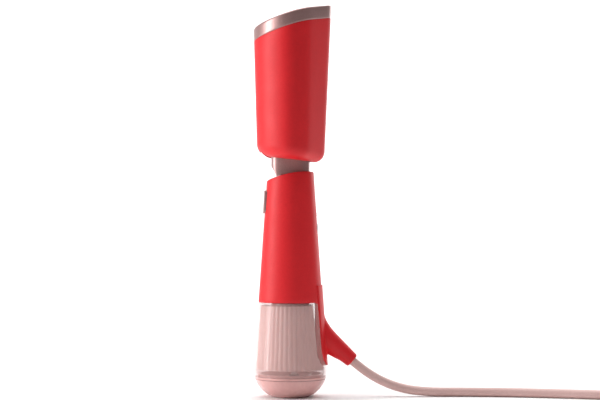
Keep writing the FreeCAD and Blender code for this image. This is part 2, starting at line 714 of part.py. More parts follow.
def edges_on(shape, level, slope):
    """The edges of a shape that lie on the plane z = level + slope x."""
    return [edge for edge in shape.Edges
            if all(abs(point.Z - level - slope * point.X) < 1e-3 for point in edge.Vertexes)
            and abs(edge.CenterOfMass.z - level - slope * edge.CenterOfMass.x) < 1e-3]


def head_blank(inset, top):
    """The head with its rounded bottom, drawn in by an inset and cut off at a sloping top."""
    low = UNDER + inset
    block = head_block(inset, low, top, UNDER_SLOPE, SLOPE)
    return block.makeFillet(D.head_corner.value - inset, edges_on(block, low, UNDER_SLOPE))


def slot_solid(gap, half_width):
    """The space that the neck sweeps through in the head from upright to the tilt's limit."""
    pivot = D.pivot_height.value
    radius = D.neck_radius.value + gap
    tilt = math.radians(D.tilt_limit.value)
    y = -half_width
    far = 60.0
    start = V(radius, y, pivot)
    crown = V(0, y, pivot + radius)
    turn = V(-radius * math.sin(math.pi / 2 - tilt), y, pivot + radius * math.cos(math.pi / 2 - tilt))
    reach = turn + V(-math.sin(tilt), 0, -math.cos(tilt)) * far
    low = V(reach.x, y, pivot - far)
    corner = V(radius, y, pivot - far)
    wire = Part.Wire([Part.Arc(start, crown, turn).toShape(),
                      *[Part.LineSegment(a, b).toShape()
                        for a, b in ((turn, reach), (reach, low), (low, corner), (corner, start))]])
    return Part.Face(wire).extrude(V(0, 2 * half_width, 0))


def head_shell():
    """The head's cover, slotted below for the neck, and the pocket that closes off the slot."""
    wall = D.head_wall.value
    gap = D.slot_gap.value
    half = D.neck_tongue.value + gap
    slot = slot_solid(gap, half)
    shell = head_blank(0.0, RIM).cut(head_blank(wall, RIM + 5)).cut(slot)
    keep(feature("head_shell_solid", shell), "head_shell")
    thick = D.pocket_wall.value
    pocket = slot_solid(gap + thick, half + thick).common(
        head_blank(wall + D.slim_gap.value, RIM)).cut(slot)
    hole = Part.makeCylinder(D.pin_radius.value + D.slim_gap.value, 120,
                             V(0, -60, D.pivot_height.value), V(0, 1, 0))
    keep(feature("hinge_pocket_solid", pocket.cut(hole)), "hinge_pocket")


def pivot_parts():
    """The two pivot pins and the friction washers on them."""
    pins = []
    washers = []
    for side, sign in (("left", -1), ("right", 1)):
        start = -D.pin_reach if sign < 0 else D.pin_root
        pins.append(rod(f"pivot_pin_{side}", D.pin_radius, (0, start, D.pivot_height),
                        D.pin_reach - D.pin_root, "Y"))
        thickness = D.slot_gap - D.moving_gap - D.slim_gap
        near = D.neck_tongue + D.moving_gap
        start = -near - thickness if sign < 0 else near
        washers.append(tube(f"pivot_washer_{side}", D.pin_radius + D.washer_rim, D.pin_radius + D.slim_gap,
                            (0, start, D.pivot_height), thickness, "Y"))
    keep(fuse("pivot_pins_solid", *pins), "pivot_pins")
    keep(fuse("friction_washers_solid", *washers), "friction_washers")


CHAMBER_SCREWS = ((-17.0, 18.0), (-17.0, -18.0), (6.0, 19.5), (6.0, -19.5))


def steam_generator():
    """The cast chamber under the plate with its cover, cast-in heater, cut-outs and inlet."""
    inset = D.chamber_inset.value
    gap = D.slim_gap.value
    cover = D.total_height - D.cover_drop
    cover_low = cover.value
    cover_high = cover_low + D.cover_thickness.value
    heater = Part.makeTorus(D.heater_ring.value, D.heater_radius.value,
                            V(0, 0, (D.total_height - D.heater_drop).value))
    shanks = [Part.makeCylinder(D.screw_radius.value, D.chamber_screw_length.value,
                                V(x, y, cover_low - 0.5)) for x, y in CHAMBER_SCREWS]
    heads = [Part.makeCylinder(D.screw_head.value, D.screw_head_height.value,
                               V(x, y, cover_low - D.screw_head_height.value))
             for x, y in CHAMBER_SCREWS]
    chamber = head_block(inset, cover_high, RIM - gap, 0.0, SLOPE)
    lid = head_block(inset, cover_low, cover_high - gap)
    screws = Part.makeCompound([shank.fuse(head) for shank, head in zip(shanks, heads)])
    for shank in shanks:
        chamber = chamber.cut(shank)
        lid = lid.cut(shank)
    keep(feature("steam_chamber_solid", chamber.cut(heater)), "steam_chamber")
    keep(feature("chamber_cover_solid", lid), "chamber_cover")
    keep(feature("heating_element_solid", heater), "heating_element")
    keep(feature("chamber_screws_solid", screws), "chamber_screws")
    keep(rod("thermostat_solid", D.thermostat_radius, (-2, 0, cover - D.thermostat_height),
             D.thermostat_height - D.slim_gap), "thermostat")
    keep(rod("thermal_fuse_solid", D.fuse_radius, (-14, -11.5, cover - 3), D.fuse_length, "X"),
         "thermal_fuse")
    fitting = cover - D.inlet_length
    keep(tube("inlet_fitting_solid", D.inlet_radius, D.hose_bore,
              (D.inlet_x, D.inlet_y, fitting), D.inlet_length - D.slim_gap), "inlet_fitting")
    low = D.pivot_height + D.neck_radius + 4
    keep(tube("head_hose_solid", D.hose_radius, D.hose_bore, (D.inlet_x, D.inlet_y, low),
              fitting - low), "head_hose")
    shield_low = (D.total_height - D.shield_drop).value
    shield = head_block(D.head_wall.value + D.moving_gap.value, shield_low,
                        shield_low + D.shield_thickness.value)
    passage = Part.makeCylinder(D.inlet_radius.value + 0.8, 40,
                                V(D.inlet_x.value, D.inlet_y.value, shield_low - 20))
    keep(feature("heat_shield_solid", shield.cut(passage)), "heat_shield")


def steam_holes():
    """Rings of steam holes in the plate, following its rounded three-sided outline."""
    holes = []
    for ring, count in ((9.0, 8), (17.0, 14)):
        for i in range(count):
            angle = 2 * math.pi * (i + 0.5) / count
            x, y = ring * math.cos(angle) - 1.0, ring * 1.12 * math.sin(angle)
            holes.append(Part.makeCylinder(D.steam_hole.value, 60, V(x, y, RIM - 20)))
    return holes


def steam_plate():
    """The metal band round the head's face and the drilled plate sunk a little inside it."""
    width = D.band_width.value
    gap = D.slim_gap.value
    sink = D.plate_sink.value
    band = head_block(0.0, RIM + gap, FACE, SLOPE, SLOPE)
    band = band.makeFillet(D.band_edge.value, edges_on(band, FACE, SLOPE))
    opening = head_block(width, RIM - 5, FACE + 5, SLOPE, SLOPE)
    keep(feature("plate_band_solid", band.cut(opening)), "plate_band")
    plate = head_block(width + gap, RIM + gap, FACE - sink, SLOPE, SLOPE)
    for hole in steam_holes():
        plate = plate.cut(hole)
    keep(feature("steam_plate_solid", plate), "steam_plate")
    seal = head_block(D.head_wall.value + gap, RIM - 1.5, RIM, SLOPE, SLOPE).cut(
        head_block(D.chamber_inset.value - gap - 1, RIM - 9, RIM + 9, SLOPE, SLOPE))
    keep(feature("plate_gasket_solid", seal), "plate_gasket")


# ------------------------------------------------------------------ cord

FLOOR = D.cord_diameter.value / 2
EXIT = V(D.boom_end_x.value, 0, D.boom_end_height.value)
COIL_START = V(D.coil_x.value, D.coil_y.value - D.coil_outer.value, FLOOR)
CORD_POINTS = [
    EXIT, V(65.5, 0.0, 23.3), V(82.0, 0.2, 13.4), V(101.0, 0.0, 6.6), V(124.0, -0.8, FLOOR),
    V(157.0, -0.4, FLOOR), V(196.0, -4.6, FLOOR), V(236.0, -14.2, FLOOR), V(276.0, -25.6, FLOOR),
    V(312.0, -34.4, FLOOR), COIL_START]


def rounded_path(points):
    """Straight runs joined by tangent arcs, each as large as its two runs allow."""
    edges = []
    radii = []
    at = points[0]
    for before, corner, after in zip(points, points[1:], points[2:]):
        back = (before - corner).normalize()
        ahead = (after - corner).normalize()
        shorter = min((before - corner).Length, (after - corner).Length)
        turn = math.pi - back.getAngle(ahead)
        reach = 0.45 * shorter
        radius = reach / math.tan(turn / 2)
        middle = (back + ahead).normalize()
        crown = corner + middle * (radius / math.cos(turn / 2) - radius)
        start, end = corner + back * reach, corner + ahead * reach
        edges += [Part.LineSegment(at, start).toShape(), Part.Arc(start, crown, end).toShape()]
        radii.append(radius)
        at = end
    edges.append(Part.LineSegment(at, points[-1]).toShape())
    return Part.Wire(edges), radii


def swept(name, points, diameter):
    """A round tube along a rounded path, with its volume tested against section times length."""
    path, radii = rounded_path(points)
    print(name, "radii", [round(radius, 1) for radius in radii], "length", round(path.Length, 1))
    section = Part.Wire(Part.makeCircle(diameter / 2, points[0], points[1] - points[0]))
    tube_shape = path.makePipeShell([section], True, False)
    wanted = math.pi * diameter ** 2 / 4 * path.Length
    if abs(tube_shape.Volume - wanted) > 0.01 * wanted:
        raise RuntimeError(f"{name}: swept volume {tube_shape.Volume:.0f}, wanted {wanted:.0f}")
    return feature(name, tube_shape)


PLUG_HEIGHT = D.cord_diameter * 2 + D.plug_radius + D.moving_gap


TAIL_CLIMB = (0.10, 0.25, 0.45, 0.70, 0.96)


def tail_points():
    """The cord's way from the coil's last turn, half a turn round and up to the plug on top."""
    edge = D.coil_y.value - D.coil_outer.value
    start = V(D.coil_x.value, edge, D.cord_diameter.value * 1.5)
    end = V(D.plug_x.value, D.plug_y.value, PLUG_HEIGHT.value)
    rise = end.z - start.z
    bend = (end.y - edge) / 2
    step = math.pi / len(TAIL_CLIMB)
    half_run = bend * math.tan(step / 2)
    middle_x = end.x + half_run
    points = [start, V((start.x + middle_x + half_run) / 2, edge - D.tail_bulge.value,
                       start.z + 0.03 * rise)]
    for i, share in enumerate(TAIL_CLIMB):
        turn = step * (i + 0.5) - math.pi / 2
        reach = bend / math.cos(step / 2)
        points.append(V(middle_x + reach * math.cos(turn), edge + bend + reach * math.sin(turn),
                        start.z + share * rise))
    return points + [end]


def cord():
    """The mains cord: the stretch from the boom, the put-away coil and the tail to the plug."""
    thick = D.cord_diameter
    keep(swept("power_cord_solid", CORD_POINTS, thick.value), "power_cord")
    keep(tube("cord_coil_solid", D.coil_outer + thick / 2, D.coil_inner - thick / 2,
              (D.coil_x, D.coil_y, 0), thick * 2), "cord_coil")
    keep(swept("cord_tail_solid", tail_points(), thick.value), "cord_tail")


def plug():
    """The moulded mains plug, which lies on the coil: a tapered sleeve and two round pins."""
    y, z = D.plug_y, PLUG_HEIGHT
    face_x = D.plug_x - D.sleeve_length - D.plug_length
    block_length = D.plug_length - D.shoulder_length
    block = rod("plug_block", D.plug_radius, (face_x, y, z), block_length, "X")
    shoulder = taper("plug_shoulder", D.plug_radius, D.sleeve_radius + 2,
                     (face_x + block_length, y, z), D.shoulder_length, "X")
    sleeve = taper("plug_sleeve", D.sleeve_radius, D.cord_diameter / 2 + D.sleeve_gap,
                   (face_x + D.plug_length, y, z), D.sleeve_length, "X")
    keep(fuse("plug_body_solid", sleeve, shoulder, block), "plug_body")
    pins = [rod(f"plug_pin_{i}", D.plug_pin_radius,
                (face_x - D.plug_pin_length, y + sign * D.plug_pin_spacing / 2, z),
                D.plug_pin_length, "X") for i, sign in enumerate((-1, 1))]
    keep(fuse("plug_pins_solid", *pins), "plug_pins")


def coil_tie():
    """The strap round the coil's bundle of turns, at the side near the tank."""
    thick, wall, half = D.cord_diameter, D.tie_wall, D.tie_width / 2
    x = D.coil_x - D.coil_outer - thick / 2
    hole = D.coil_inner - thick / 2
    bulge = hole - root(hole * hole - half * half)
    length = D.coil_outer - D.coil_inner + thick + bulge
    gap = D.moving_gap
    outer = box("tie_outside", (x - gap - wall, x + length + gap + wall),
                (D.coil_y - half, D.coil_y + half), (0, thick * 2 + gap + wall))
    inner = box("tie_inside", (x - gap, x + length + gap),
                (D.coil_y - half - 1, D.coil_y + half + 1), (-1, thick * 2 + gap))
    keep(cut("coil_tie_solid", outer, inner), "coil_tie")


# ------------------------------------------------------------------ the whole steamer

for build in (tank_shell, tank_foot, tank_ring, tank_liner, tank_collar, handle_shells,
              handle_screws, handle_base, rear_spine, neck, trigger, power_button, pump, chassis,
              head_shell, pivot_parts, steam_generator, steam_plate, cord, plug, coil_tie):
    build()
doc.recompute()


def check_document():
    """Stops the build if any object failed or any sub-part's shape is missing or broken."""
    for thing in doc.Objects:
        if any(word in thing.State for word in ("Invalid", "Error")):
            raise RuntimeError(f"{thing.Name} failed: {thing.State}")
    for node in NODES:
        shape = node.Shape
        if shape.isNull() or not shape.isValid() or not shape.Solids:
            raise RuntimeError(f"{node.Label} has no sound shape")


check_document()
os.makedirs("parts", exist_ok=True)
for node in NODES:
    node.Shape.exportStep(f"parts/{node.Label}.step")
    print(node.Label, len(node.Shape.Solids), round(node.Shape.Volume / 1000, 2), "cm3")
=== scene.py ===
"""Looks for a handheld garment steamer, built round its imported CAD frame.

Everything is in metres in the frame's own axes: +Z up, -X the trigger side, +X the cord side.
"""

import logging
import math
from dataclasses import dataclass, field
from enum import Enum

import bmesh
import bpy
from mathutils import Matrix, Vector


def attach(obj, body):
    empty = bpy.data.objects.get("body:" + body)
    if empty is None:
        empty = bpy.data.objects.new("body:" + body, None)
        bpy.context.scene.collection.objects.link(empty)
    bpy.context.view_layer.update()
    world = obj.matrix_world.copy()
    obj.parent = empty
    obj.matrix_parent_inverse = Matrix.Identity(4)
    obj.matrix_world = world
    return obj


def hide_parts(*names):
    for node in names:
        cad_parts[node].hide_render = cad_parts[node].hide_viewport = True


logging.basicConfig(level=logging.INFO, format="%(message)s")
log = logging.getLogger("steamer")

Colour = tuple[float, float, float]
Place = tuple[float, float, float]
Outline = list[tuple[float, float]]
Ring = list[Vector]
Piece = bpy.types.Object

ROUND = 160
SHARP_EDGE = math.radians(40.0)


class Axis(Enum):
    """The axis that an outline is drawn out along."""

    X = 0
    Y = 1
    Z = 2


class Facing(Enum):
    """How a piece that was turned about Z is laid, as the rows of a turn."""

    ALONG_X = ((0, 0, 1), (0, 1, 0), (-1, 0, 0))
    AGAINST_X = ((0, 0, -1), (0, 1, 0), (1, 0, 0))
    ALONG_Y = ((1, 0, 0), (0, 0, 1), (0, 1, 0))


class Joining(Enum):
    """What a cutter does to the piece that it meets."""

    CUT = "DIFFERENCE"
    ADD = "UNION"
    COMMON = "INTERSECT"


class Texture(Enum):
    """The fine surface that a finish carries."""

    GRAIN = "grain"
    BRUSHED = "brushed"
    CAST = "cast"
    WOVEN = "woven"


@dataclass(frozen=True)
class Finish:
    """A procedural finish: colour that drifts a little, and fine relief in its gloss.

    Args:
        name: the material's name.
        colour: the linear base colour.
        shade: the colour that the base drifts towards.
        roughness: the mean roughness.
        texture: the kind of fine relief.
        grain: how many grains stand in a metre.
        relief: the depth of the relief in metres.
        specular: the strength of the plain reflection.
        metallic: the share of metal.
        coat: the strength of a clear top coat.
        coat_roughness: the roughness of that coat.
        transmission: the share of light that passes through.
        opacity: how much the surface hides of what is behind it.
        scatter: the share of light that spreads under the surface.
        scatter_reach: how far that light spreads, in metres.
    """

    name: str
    colour: Colour
    shade: Colour
    roughness: float = 0.35
    texture: Texture = Texture.GRAIN
    grain: float = 900.0
    relief: float = 0.00002
    specular: float = 0.5
    metallic: float = 0.0
    coat: float = 0.0
    coat_roughness: float = 0.08
    transmission: float = 0.0
    opacity: float = 1.0
    scatter: float = 0.0
    scatter_reach: float = 0.004

    def material(self) -> bpy.types.Material:
        """Makes the material, or finds it if it is already there.

        Returns:
            The node material of this finish.
        """
        name = f"{self.name}_finish"
        found = bpy.data.materials.get(name)
        if found:
            return found
        material = bpy.data.materials.new(name)
        material.use_nodes = True
        tree = material.node_tree
        shader = tree.nodes["Principled BSDF"]
        settings = {
            "Metallic": self.metallic, "Specular IOR Level": self.specular,
            "Coat Weight": self.coat, "Coat Roughness": self.coat_roughness,
            "Transmission Weight": self.transmission, "Alpha": self.opacity,
            "Subsurface Weight": self.scatter, "Subsurface Scale": self.scatter_reach,
            "Subsurface Radius": (1.0, 0.6, 0.5)}
        for socket, value in settings.items():
            shader.inputs[socket].default_value = value
        place = tree.nodes.new("ShaderNodeTexCoord")
        self._colour(tree, shader, place)
        self._gloss(tree, shader, place)
        self._relief(tree, shader, place)
        return material

    def _noise(self, tree: bpy.types.NodeTree, place: bpy.types.Node, scale: float,
               detail: float = 3.0) -> bpy.types.Node:
        """Adds a noise texture over the object's own coordinates.

        Args:
            tree: the material's nodes.
            place: the node that gives the coordinates.
            scale: the noise's cells in a metre.
            detail: its octaves.

        Returns:
            The noise node.
        """
        noise = tree.nodes.new("ShaderNodeTexNoise")
        noise.inputs["Scale"].default_value = scale
        noise.inputs["Detail"].default_value = detail
        tree.links.new(place.outputs["Object"], noise.inputs["Vector"])
        return noise

    def _colour(self, tree: bpy.types.NodeTree, shader: bpy.types.Node,
                place: bpy.types.Node) -> None:
        """Drifts the base colour towards its shade in soft clouds and a finer mottle.

        Args:
            tree: the material's nodes.
            shader: the node that is fed.
            place: the node that gives the coordinates.
        """
        clouds = self._noise(tree, place, 28.0)
        mottle = self._noise(tree, place, self.grain * 0.4, 2.0)
        blend = tree.nodes.new("ShaderNodeMath")
        blend.operation = "MULTIPLY"
        tree.links.new(clouds.outputs["Fac"], blend.inputs[0])
        tree.links.new(mottle.outputs["Fac"], blend.inputs[1])
        ramp = tree.nodes.new("ShaderNodeValToRGB")
        ramp.color_ramp.elements[0].position = 0.12
        ramp.color_ramp.elements[1].position = 0.42
        ramp.color_ramp.elements[0].color = (*self.shade, 1.0)
        ramp.color_ramp.elements[1].color = (*self.colour, 1.0)
        tree.links.new(blend.outputs[0], ramp.inputs["Fac"])
        tree.links.new(ramp.outputs["Color"], shader.inputs["Base Color"])

    def _gloss(self, tree: bpy.types.NodeTree, shader: bpy.types.Node,
               place: bpy.types.Node) -> None:
        """Varies the roughness a little, as handling and moulding do.

        Args:
            tree: the material's nodes.
            shader: the node that is fed.
            place: the node that gives the coordinates.
        """
        noise = self._noise(tree, place, 60.0)
        spread = tree.nodes.new("ShaderNodeMapRange")
        spread.inputs["To Min"].default_value = self.roughness * 0.86
        spread.inputs["To Max"].default_value = min(1.0, self.roughness * 1.16)
        tree.links.new(noise.outputs["Fac"], spread.inputs["Value"])
        tree.links.new(spread.outputs["Result"], shader.inputs["Roughness"])

    def _relief(self, tree: bpy.types.NodeTree, shader: bpy.types.Node,
                place: bpy.types.Node) -> None:
        """Adds the fine relief: a mould's grain, brushing, casting skin or a woven face.

        Args:
            tree: the material's nodes.
            shader: the node that is fed.
            place: the node that gives the coordinates.
        """
        stretch = tree.nodes.new("ShaderNodeMapping")
        tree.links.new(place.outputs["Object"], stretch.inputs["Vector"])
        if self.texture is Texture.WOVEN:
            source = tree.nodes.new("ShaderNodeTexWave")
            source.inputs["Scale"].default_value = self.grain * 0.1
            source.inputs["Distortion"].default_value = 0.6
            height = source.outputs["Fac"]
        elif self.texture is Texture.CAST:
            source = tree.nodes.new("ShaderNodeTexVoronoi")
            source.inputs["Scale"].default_value = self.grain
            height = source.outputs["Distance"]
        else:
            source = tree.nodes.new("ShaderNodeTexNoise")
            source.inputs["Scale"].default_value = self.grain
            source.inputs["Detail"].default_value = 4.0
            height = source.outputs["Fac"]
        if self.texture is Texture.BRUSHED:
            stretch.inputs["Scale"].default_value = (0.06, 1.0, 0.06)
        tree.links.new(stretch.outputs["Vector"], source.inputs["Vector"])
        bump = tree.nodes.new("ShaderNodeBump")
        bump.inputs["Strength"].default_value = 0.5
        bump.inputs["Distance"].default_value = self.relief
        tree.links.new(height, bump.inputs["Height"])
        tree.links.new(bump.outputs["Normal"], shader.inputs["Normal"])

    def dress(self, piece: Piece) -> None:
        """Puts this finish, and no other, on a mesh or curve."""
        piece.data.materials.clear()
        piece.data.materials.append(self.material())


RED_GLOSS = Finish("red_moulding", (0.76, 0.016, 0.022), (0.70, 0.013, 0.019), roughness=0.5,
                   grain=1500.0, relief=0.000005, specular=0.32)
ROSE_LACQUER = Finish("rose_lacquer", (0.46, 0.27, 0.255), (0.38, 0.22, 0.21), roughness=0.38,
                      grain=2600.0, relief=0.000004, metallic=0.6, coat=0.2, coat_roughness=0.3)
CLEAR_PINK = Finish("clear_pink", (0.80, 0.50, 0.47), (0.76, 0.47, 0.44), roughness=0.16,
                    grain=300.0, relief=0.000004, opacity=0.34)
RIBBED_PINK = Finish("ribbed_pink", (0.95, 0.76, 0.73), (0.92, 0.72, 0.69), roughness=0.25,
                     grain=500.0, relief=0.000004, scatter=0.25, coat=0.4)
PALE_PINK = Finish("pale_pink", (0.78, 0.43, 0.405), (0.72, 0.38, 0.36), roughness=0.2,
                   grain=900.0, relief=0.000006, scatter=0.25, coat=0.5)
CORD_PINK = Finish("cord_jacket", (0.76, 0.50, 0.47), (0.70, 0.45, 0.42), roughness=0.5,
                   grain=1800.0, relief=0.00002)
PLATE_STEEL = Finish("plate_steel", (0.70, 0.60, 0.58), (0.58, 0.50, 0.49), roughness=0.3,
                     texture=Texture.BRUSHED, grain=4200.0, relief=0.000008, metallic=1.0)
BRIGHT_STEEL = Finish("bright_steel", (0.66, 0.66, 0.68), (0.55, 0.55, 0.57), roughness=0.26,
                      texture=Texture.BRUSHED, grain=3600.0, relief=0.000006, metallic=1.0)
CAST_METAL = Finish("cast_metal", (0.62, 0.62, 0.63), (0.50, 0.50, 0.52), roughness=0.5,
                    texture=Texture.CAST, grain=700.0, relief=0.00005, metallic=1.0)
BRASS = Finish("turned_brass", (0.72, 0.50, 0.20), (0.60, 0.40, 0.16), roughness=0.3,
               texture=Texture.BRUSHED, grain=3000.0, relief=0.000006, metallic=1.0)
GREY_PLASTIC = Finish("inner_plastic", (0.07, 0.07, 0.075), (0.05, 0.05, 0.055), roughness=0.5,
                      grain=1400.0, relief=0.00003)
SEAL_RUBBER = Finish("seal_rubber", (0.045, 0.042, 0.042), (0.03, 0.03, 0.03), roughness=0.75,
                     grain=2200.0, relief=0.00004)
SILICONE = Finish("silicone_tube", (0.82, 0.80, 0.78), (0.76, 0.74, 0.72), roughness=0.3,
                  grain=700.0, relief=0.00001, transmission=0.3, scatter=0.2)
BOARD_GREEN = Finish("board_laminate", (0.015, 0.13, 0.05), (0.01, 0.09, 0.035), roughness=0.35,
                     texture=Texture.WOVEN, grain=3000.0, relief=0.00001, coat=0.4)
LENS = Finish("pilot_lens", (0.95, 0.88, 0.80), (0.9, 0.82, 0.74), roughness=0.08,
              grain=500.0, relief=0.000004, transmission=0.8)
STRAP = Finish("tie_strap", (0.10, 0.07, 0.07), (0.07, 0.05, 0.05), roughness=0.85,
               texture=Texture.WOVEN, grain=9000.0, relief=0.0001)
STUDIO_WHITE = Finish("studio_paper", (0.92, 0.92, 0.92), (0.90, 0.90, 0.90), roughness=0.9,
                      grain=120.0, relief=0.00002)


def link(name: str, mesh: bpy.types.Mesh) -> Piece:
    """Puts a mesh into the scene under a name.

    Args:
        name: the object's name.
        mesh: its data.

    Returns:
        The new object.
    """
    piece = bpy.data.objects.new(name, mesh)
    bpy.context.scene.collection.objects.link(piece)
    return piece


def skin(name: str, rings: list[Ring], closed: bool = False) -> Piece:
    """Joins rings of equal length into a surface.

    Args:
        name: the object's name.
        rings: the rings in order, each one a closed loop.
        closed: True to join the last ring to the first; otherwise both ends are capped.

    Returns:
        A closed mesh object with outward faces.
    """
    work = bmesh.new()
    loops = [[work.verts.new(point) for point in ring] for ring in rings]
    pairs = list(zip(loops, loops[1:] + loops[:1])) if closed else list(zip(loops, loops[1:]))
    count = len(rings[0])
    for low, high in pairs:
        for i in range(count):
            j = (i + 1) % count
            work.faces.new((low[i], low[j], high[j], high[i]))
    if not closed:
        work.faces.new(list(reversed(loops[0])))
        work.faces.new(loops[-1])
    bmesh.ops.recalc_face_normals(work, faces=work.faces)
    mesh = bpy.data.meshes.new(name)
    work.to_mesh(mesh)
    work.free()
    return link(name, mesh)


def circle(radius: float, height: float, count: int = ROUND) -> Ring:
    """A level ring of points about the Z axis.

    Args:
        radius: its radius.
        height: its height.
        count: its points.

    Returns:
        The ring.
    """
    step = 2 * math.pi / count
    return [Vector((radius * math.cos(i * step), radius * math.sin(i * step), height))
            for i in range(count)]


def lathe(name: str, profile: Outline, closed: bool = False, count: int = ROUND) -> Piece:
    """Turns a (radius, height) profile about the Z axis.

    Args:
        name: the object's name.
        profile: the profile's points in order.
        closed: True for a profile that is itself a loop, as of a ring.
        count: the points round the axis.

    Returns:
        The turned object.
    """
    return skin(name, [circle(radius, height, count) for radius, height in profile], closed)


def spread(first: float, last: float, steps: int) -> list[float]:
    """Evenly spaced values from the first to the last, both included."""
    return [first + (last - first) * i / steps for i in range(steps + 1)]


def arc_points(centre: tuple[float, float], radius: float, first: float, last: float,
               count: int) -> Outline:
    """Points along an arc in a profile's plane.

    Args:
        centre: the arc's centre.
        radius: its radius.
        first: the angle of its first point, in degrees.
        last: the angle of its last point.
        count: the number of points.

    Returns:
        The points in order.
    """
    turns = [math.radians(angle) for angle in spread(first, last, count - 1)]
    return [(centre[0] + radius * math.cos(a), centre[1] + radius * math.sin(a)) for a in turns]


def lay(piece: Piece, facing: Facing, place: Vector) -> Piece:
    """Lays a piece that was turned about Z another way and moves it.

    Args:
        piece: the piece.
        facing: how it is laid.
        place: where its origin goes.

    Returns:
        The same piece.
    """
    turn = Matrix(facing.value)
    for vertex in piece.data.vertices:
        vertex.co = turn @ vertex.co + place
    return piece


def prism(name: str, outline: Outline, axis: Axis, low: float, high: float) -> Piece:
    """Draws an outline out along an axis.

    Args:
        name: the object's name.
        outline: the points on the other two axes, in the order X, Y, Z.
        axis: the axis.
        low: where the prism starts on it.
        high: where it ends.

    Returns:
        The closed prism.
    """
    cut = axis.value
    return skin(name, [[Vector((*point[:cut], level, *point[cut:])) for point in outline]
                       for level in (low, high)])


def block(name: str, low: Place, high: Place) -> Piece:
    """A plain block between two corners, used as a cutter."""
    ring = [(low[0], low[1]), (high[0], low[1]), (high[0], high[1]), (low[0], high[1])]
    return prism(name, ring, Axis.Z, low[2], high[2])


def carve(piece: Piece, *cutters: Piece, joining: Joining = Joining.CUT) -> None:
    """Cuts, joins or intersects a piece with others, which are used up.

    Args:
        piece: the piece to work on.
        cutters: the other meshes.
        joining: what they do to it.
    """
    for cutter in cutters:
        step = piece.modifiers.new("carve", "BOOLEAN")
        step.operation = joining.value
        step.solver = "EXACT"
        step.object = cutter
        settle(piece)
        bpy.data.objects.remove(cutter)


def settle(piece: Piece) -> None:
    """Applies every modifier of a piece to its mesh.

    Args:
        piece: the piece.
    """
    graph = bpy.context.evaluated_depsgraph_get()
    mesh = bpy.data.meshes.new_from_object(piece.evaluated_get(graph))
    mesh.name = piece.name
    piece.modifiers.clear()
    piece.data = mesh


def round_edges(piece: Piece, width: float, segments: int = 2) -> None:
    """Rounds a piece's sharp edges.

    Args:
        piece: the piece.
        width: the rounding's width in metres.
        segments: the steps across each rounding.
    """
    step = piece.modifiers.new("round", "BEVEL")
    step.width = width
    step.segments = segments
    step.limit_method = "ANGLE"
    step.angle_limit = SHARP_EDGE
    step.use_clamp_overlap = True
    settle(piece)


def melt(piece: Piece, voxel: float, passes: int) -> None:
    """Remeshes a joined piece finely and smooths it, as a moulded blend.

    Args:
        piece: the piece.
        voxel: the remesh's cell in metres.
        passes: the smoothing passes.
    """
    cells = piece.modifiers.new("cells", "REMESH")
    cells.mode = "VOXEL"
    cells.voxel_size = voxel
    smooth = piece.modifiers.new("smooth", "SMOOTH")
    smooth.factor = 0.6
    smooth.iterations = passes
    settle(piece)


def shade(piece: Piece, angle: float = 32.0) -> Piece:
    """Shades a piece smooth.

    Args:
        piece: the piece.
        angle: edges sharper than this, in degrees, stay crisp.

    Returns:
        The same piece.
    """
    for face in piece.data.polygons:
        face.use_smooth = True
    piece.data.set_sharp_from_angle(angle=math.radians(angle))
    return piece


def finish_piece(piece: Piece, finish: Finish, body: str, slot: str,
                 *nodes: str) -> Piece:
    """Dresses a piece, lets it ride on its body and stand for its CAD nodes.

    Args:
        piece: the piece.
        finish: its finish.
        body: the CAD body that it moves with.
        slot: not used.
        nodes: the CAD nodes that it replaces.

    Returns:
        The same piece.
    """
    finish.dress(piece)
    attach(piece, body)
    if nodes:
        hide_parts(*nodes)
    log.info("%s rides on %s", piece.name, body)
    return piece


@dataclass(frozen=True)
class Cone:
    """The straight cone of the grip and tank, with the tank's rounded foot.

    Args:
        base: the radius that the cone would have on the floor.
        taper: how much the radius falls for each metre of height.
        foot_arc: the radius of the foot's arc.
        foot_height: the height of that arc's centre.
    """

    base: float = 0.0345
    taper: float = 0.0685
    foot_arc: float = 0.0254
    foot_height: float = 0.0239

    def radius(self, height: float) -> float:
        """The cone's radius at a height."""
        return self.base - self.taper * height

    def foot_centre(self) -> float:
        """How far the foot's arc has its centre from the axis."""
        slant = math.hypot(1.0, self.taper)
        return self.base - self.taper * self.foot_height - self.foot_arc * slant

    def tangent_height(self) -> float:
        """The height at which the foot's arc runs into the cone."""
        return self.foot_height + self.foot_arc * self.taper / math.hypot(1.0, self.taper)

    def foot_radius(self, height: float, inset: float = 0.0) -> float:
        """The foot's radius at a height.

        Args:
            height: the height.
            inset: how far the foot is drawn in.

        Returns:
            The radius.
        """
        rise = self.foot_height - height
        arc = self.foot_arc - inset
        return self.foot_centre() + math.sqrt(max(arc * arc - rise * rise, 0.0))

    def side(self, low: float, high: float, inset: float = 0.0) -> Outline:
        """The side's profile, up over the foot's arc and on up the cone.

        Args:
            low: the height of its start on the foot.
            high: the height of its end on the cone.
            inset: how far it is drawn in.

        Returns:
            The (radius, height) points.
        """
        bend = self.tangent_height()
        points = [(self.foot_radius(z, inset), z) for z in spread(low, bend, 14)[:-1]]
        return points + [(self.radius(z) - inset, z) for z in spread(bend, high, 8)]


CONE = Cone()


def tongue(half: float, end: float, top: float) -> Outline:
    """A straight strip with a round lower end, as (y, z) points seen along X."""
    bow = arc_points((0.0, end), half, 180.0, 360.0, 24)
    return [(half, top), (-half, top)] + bow


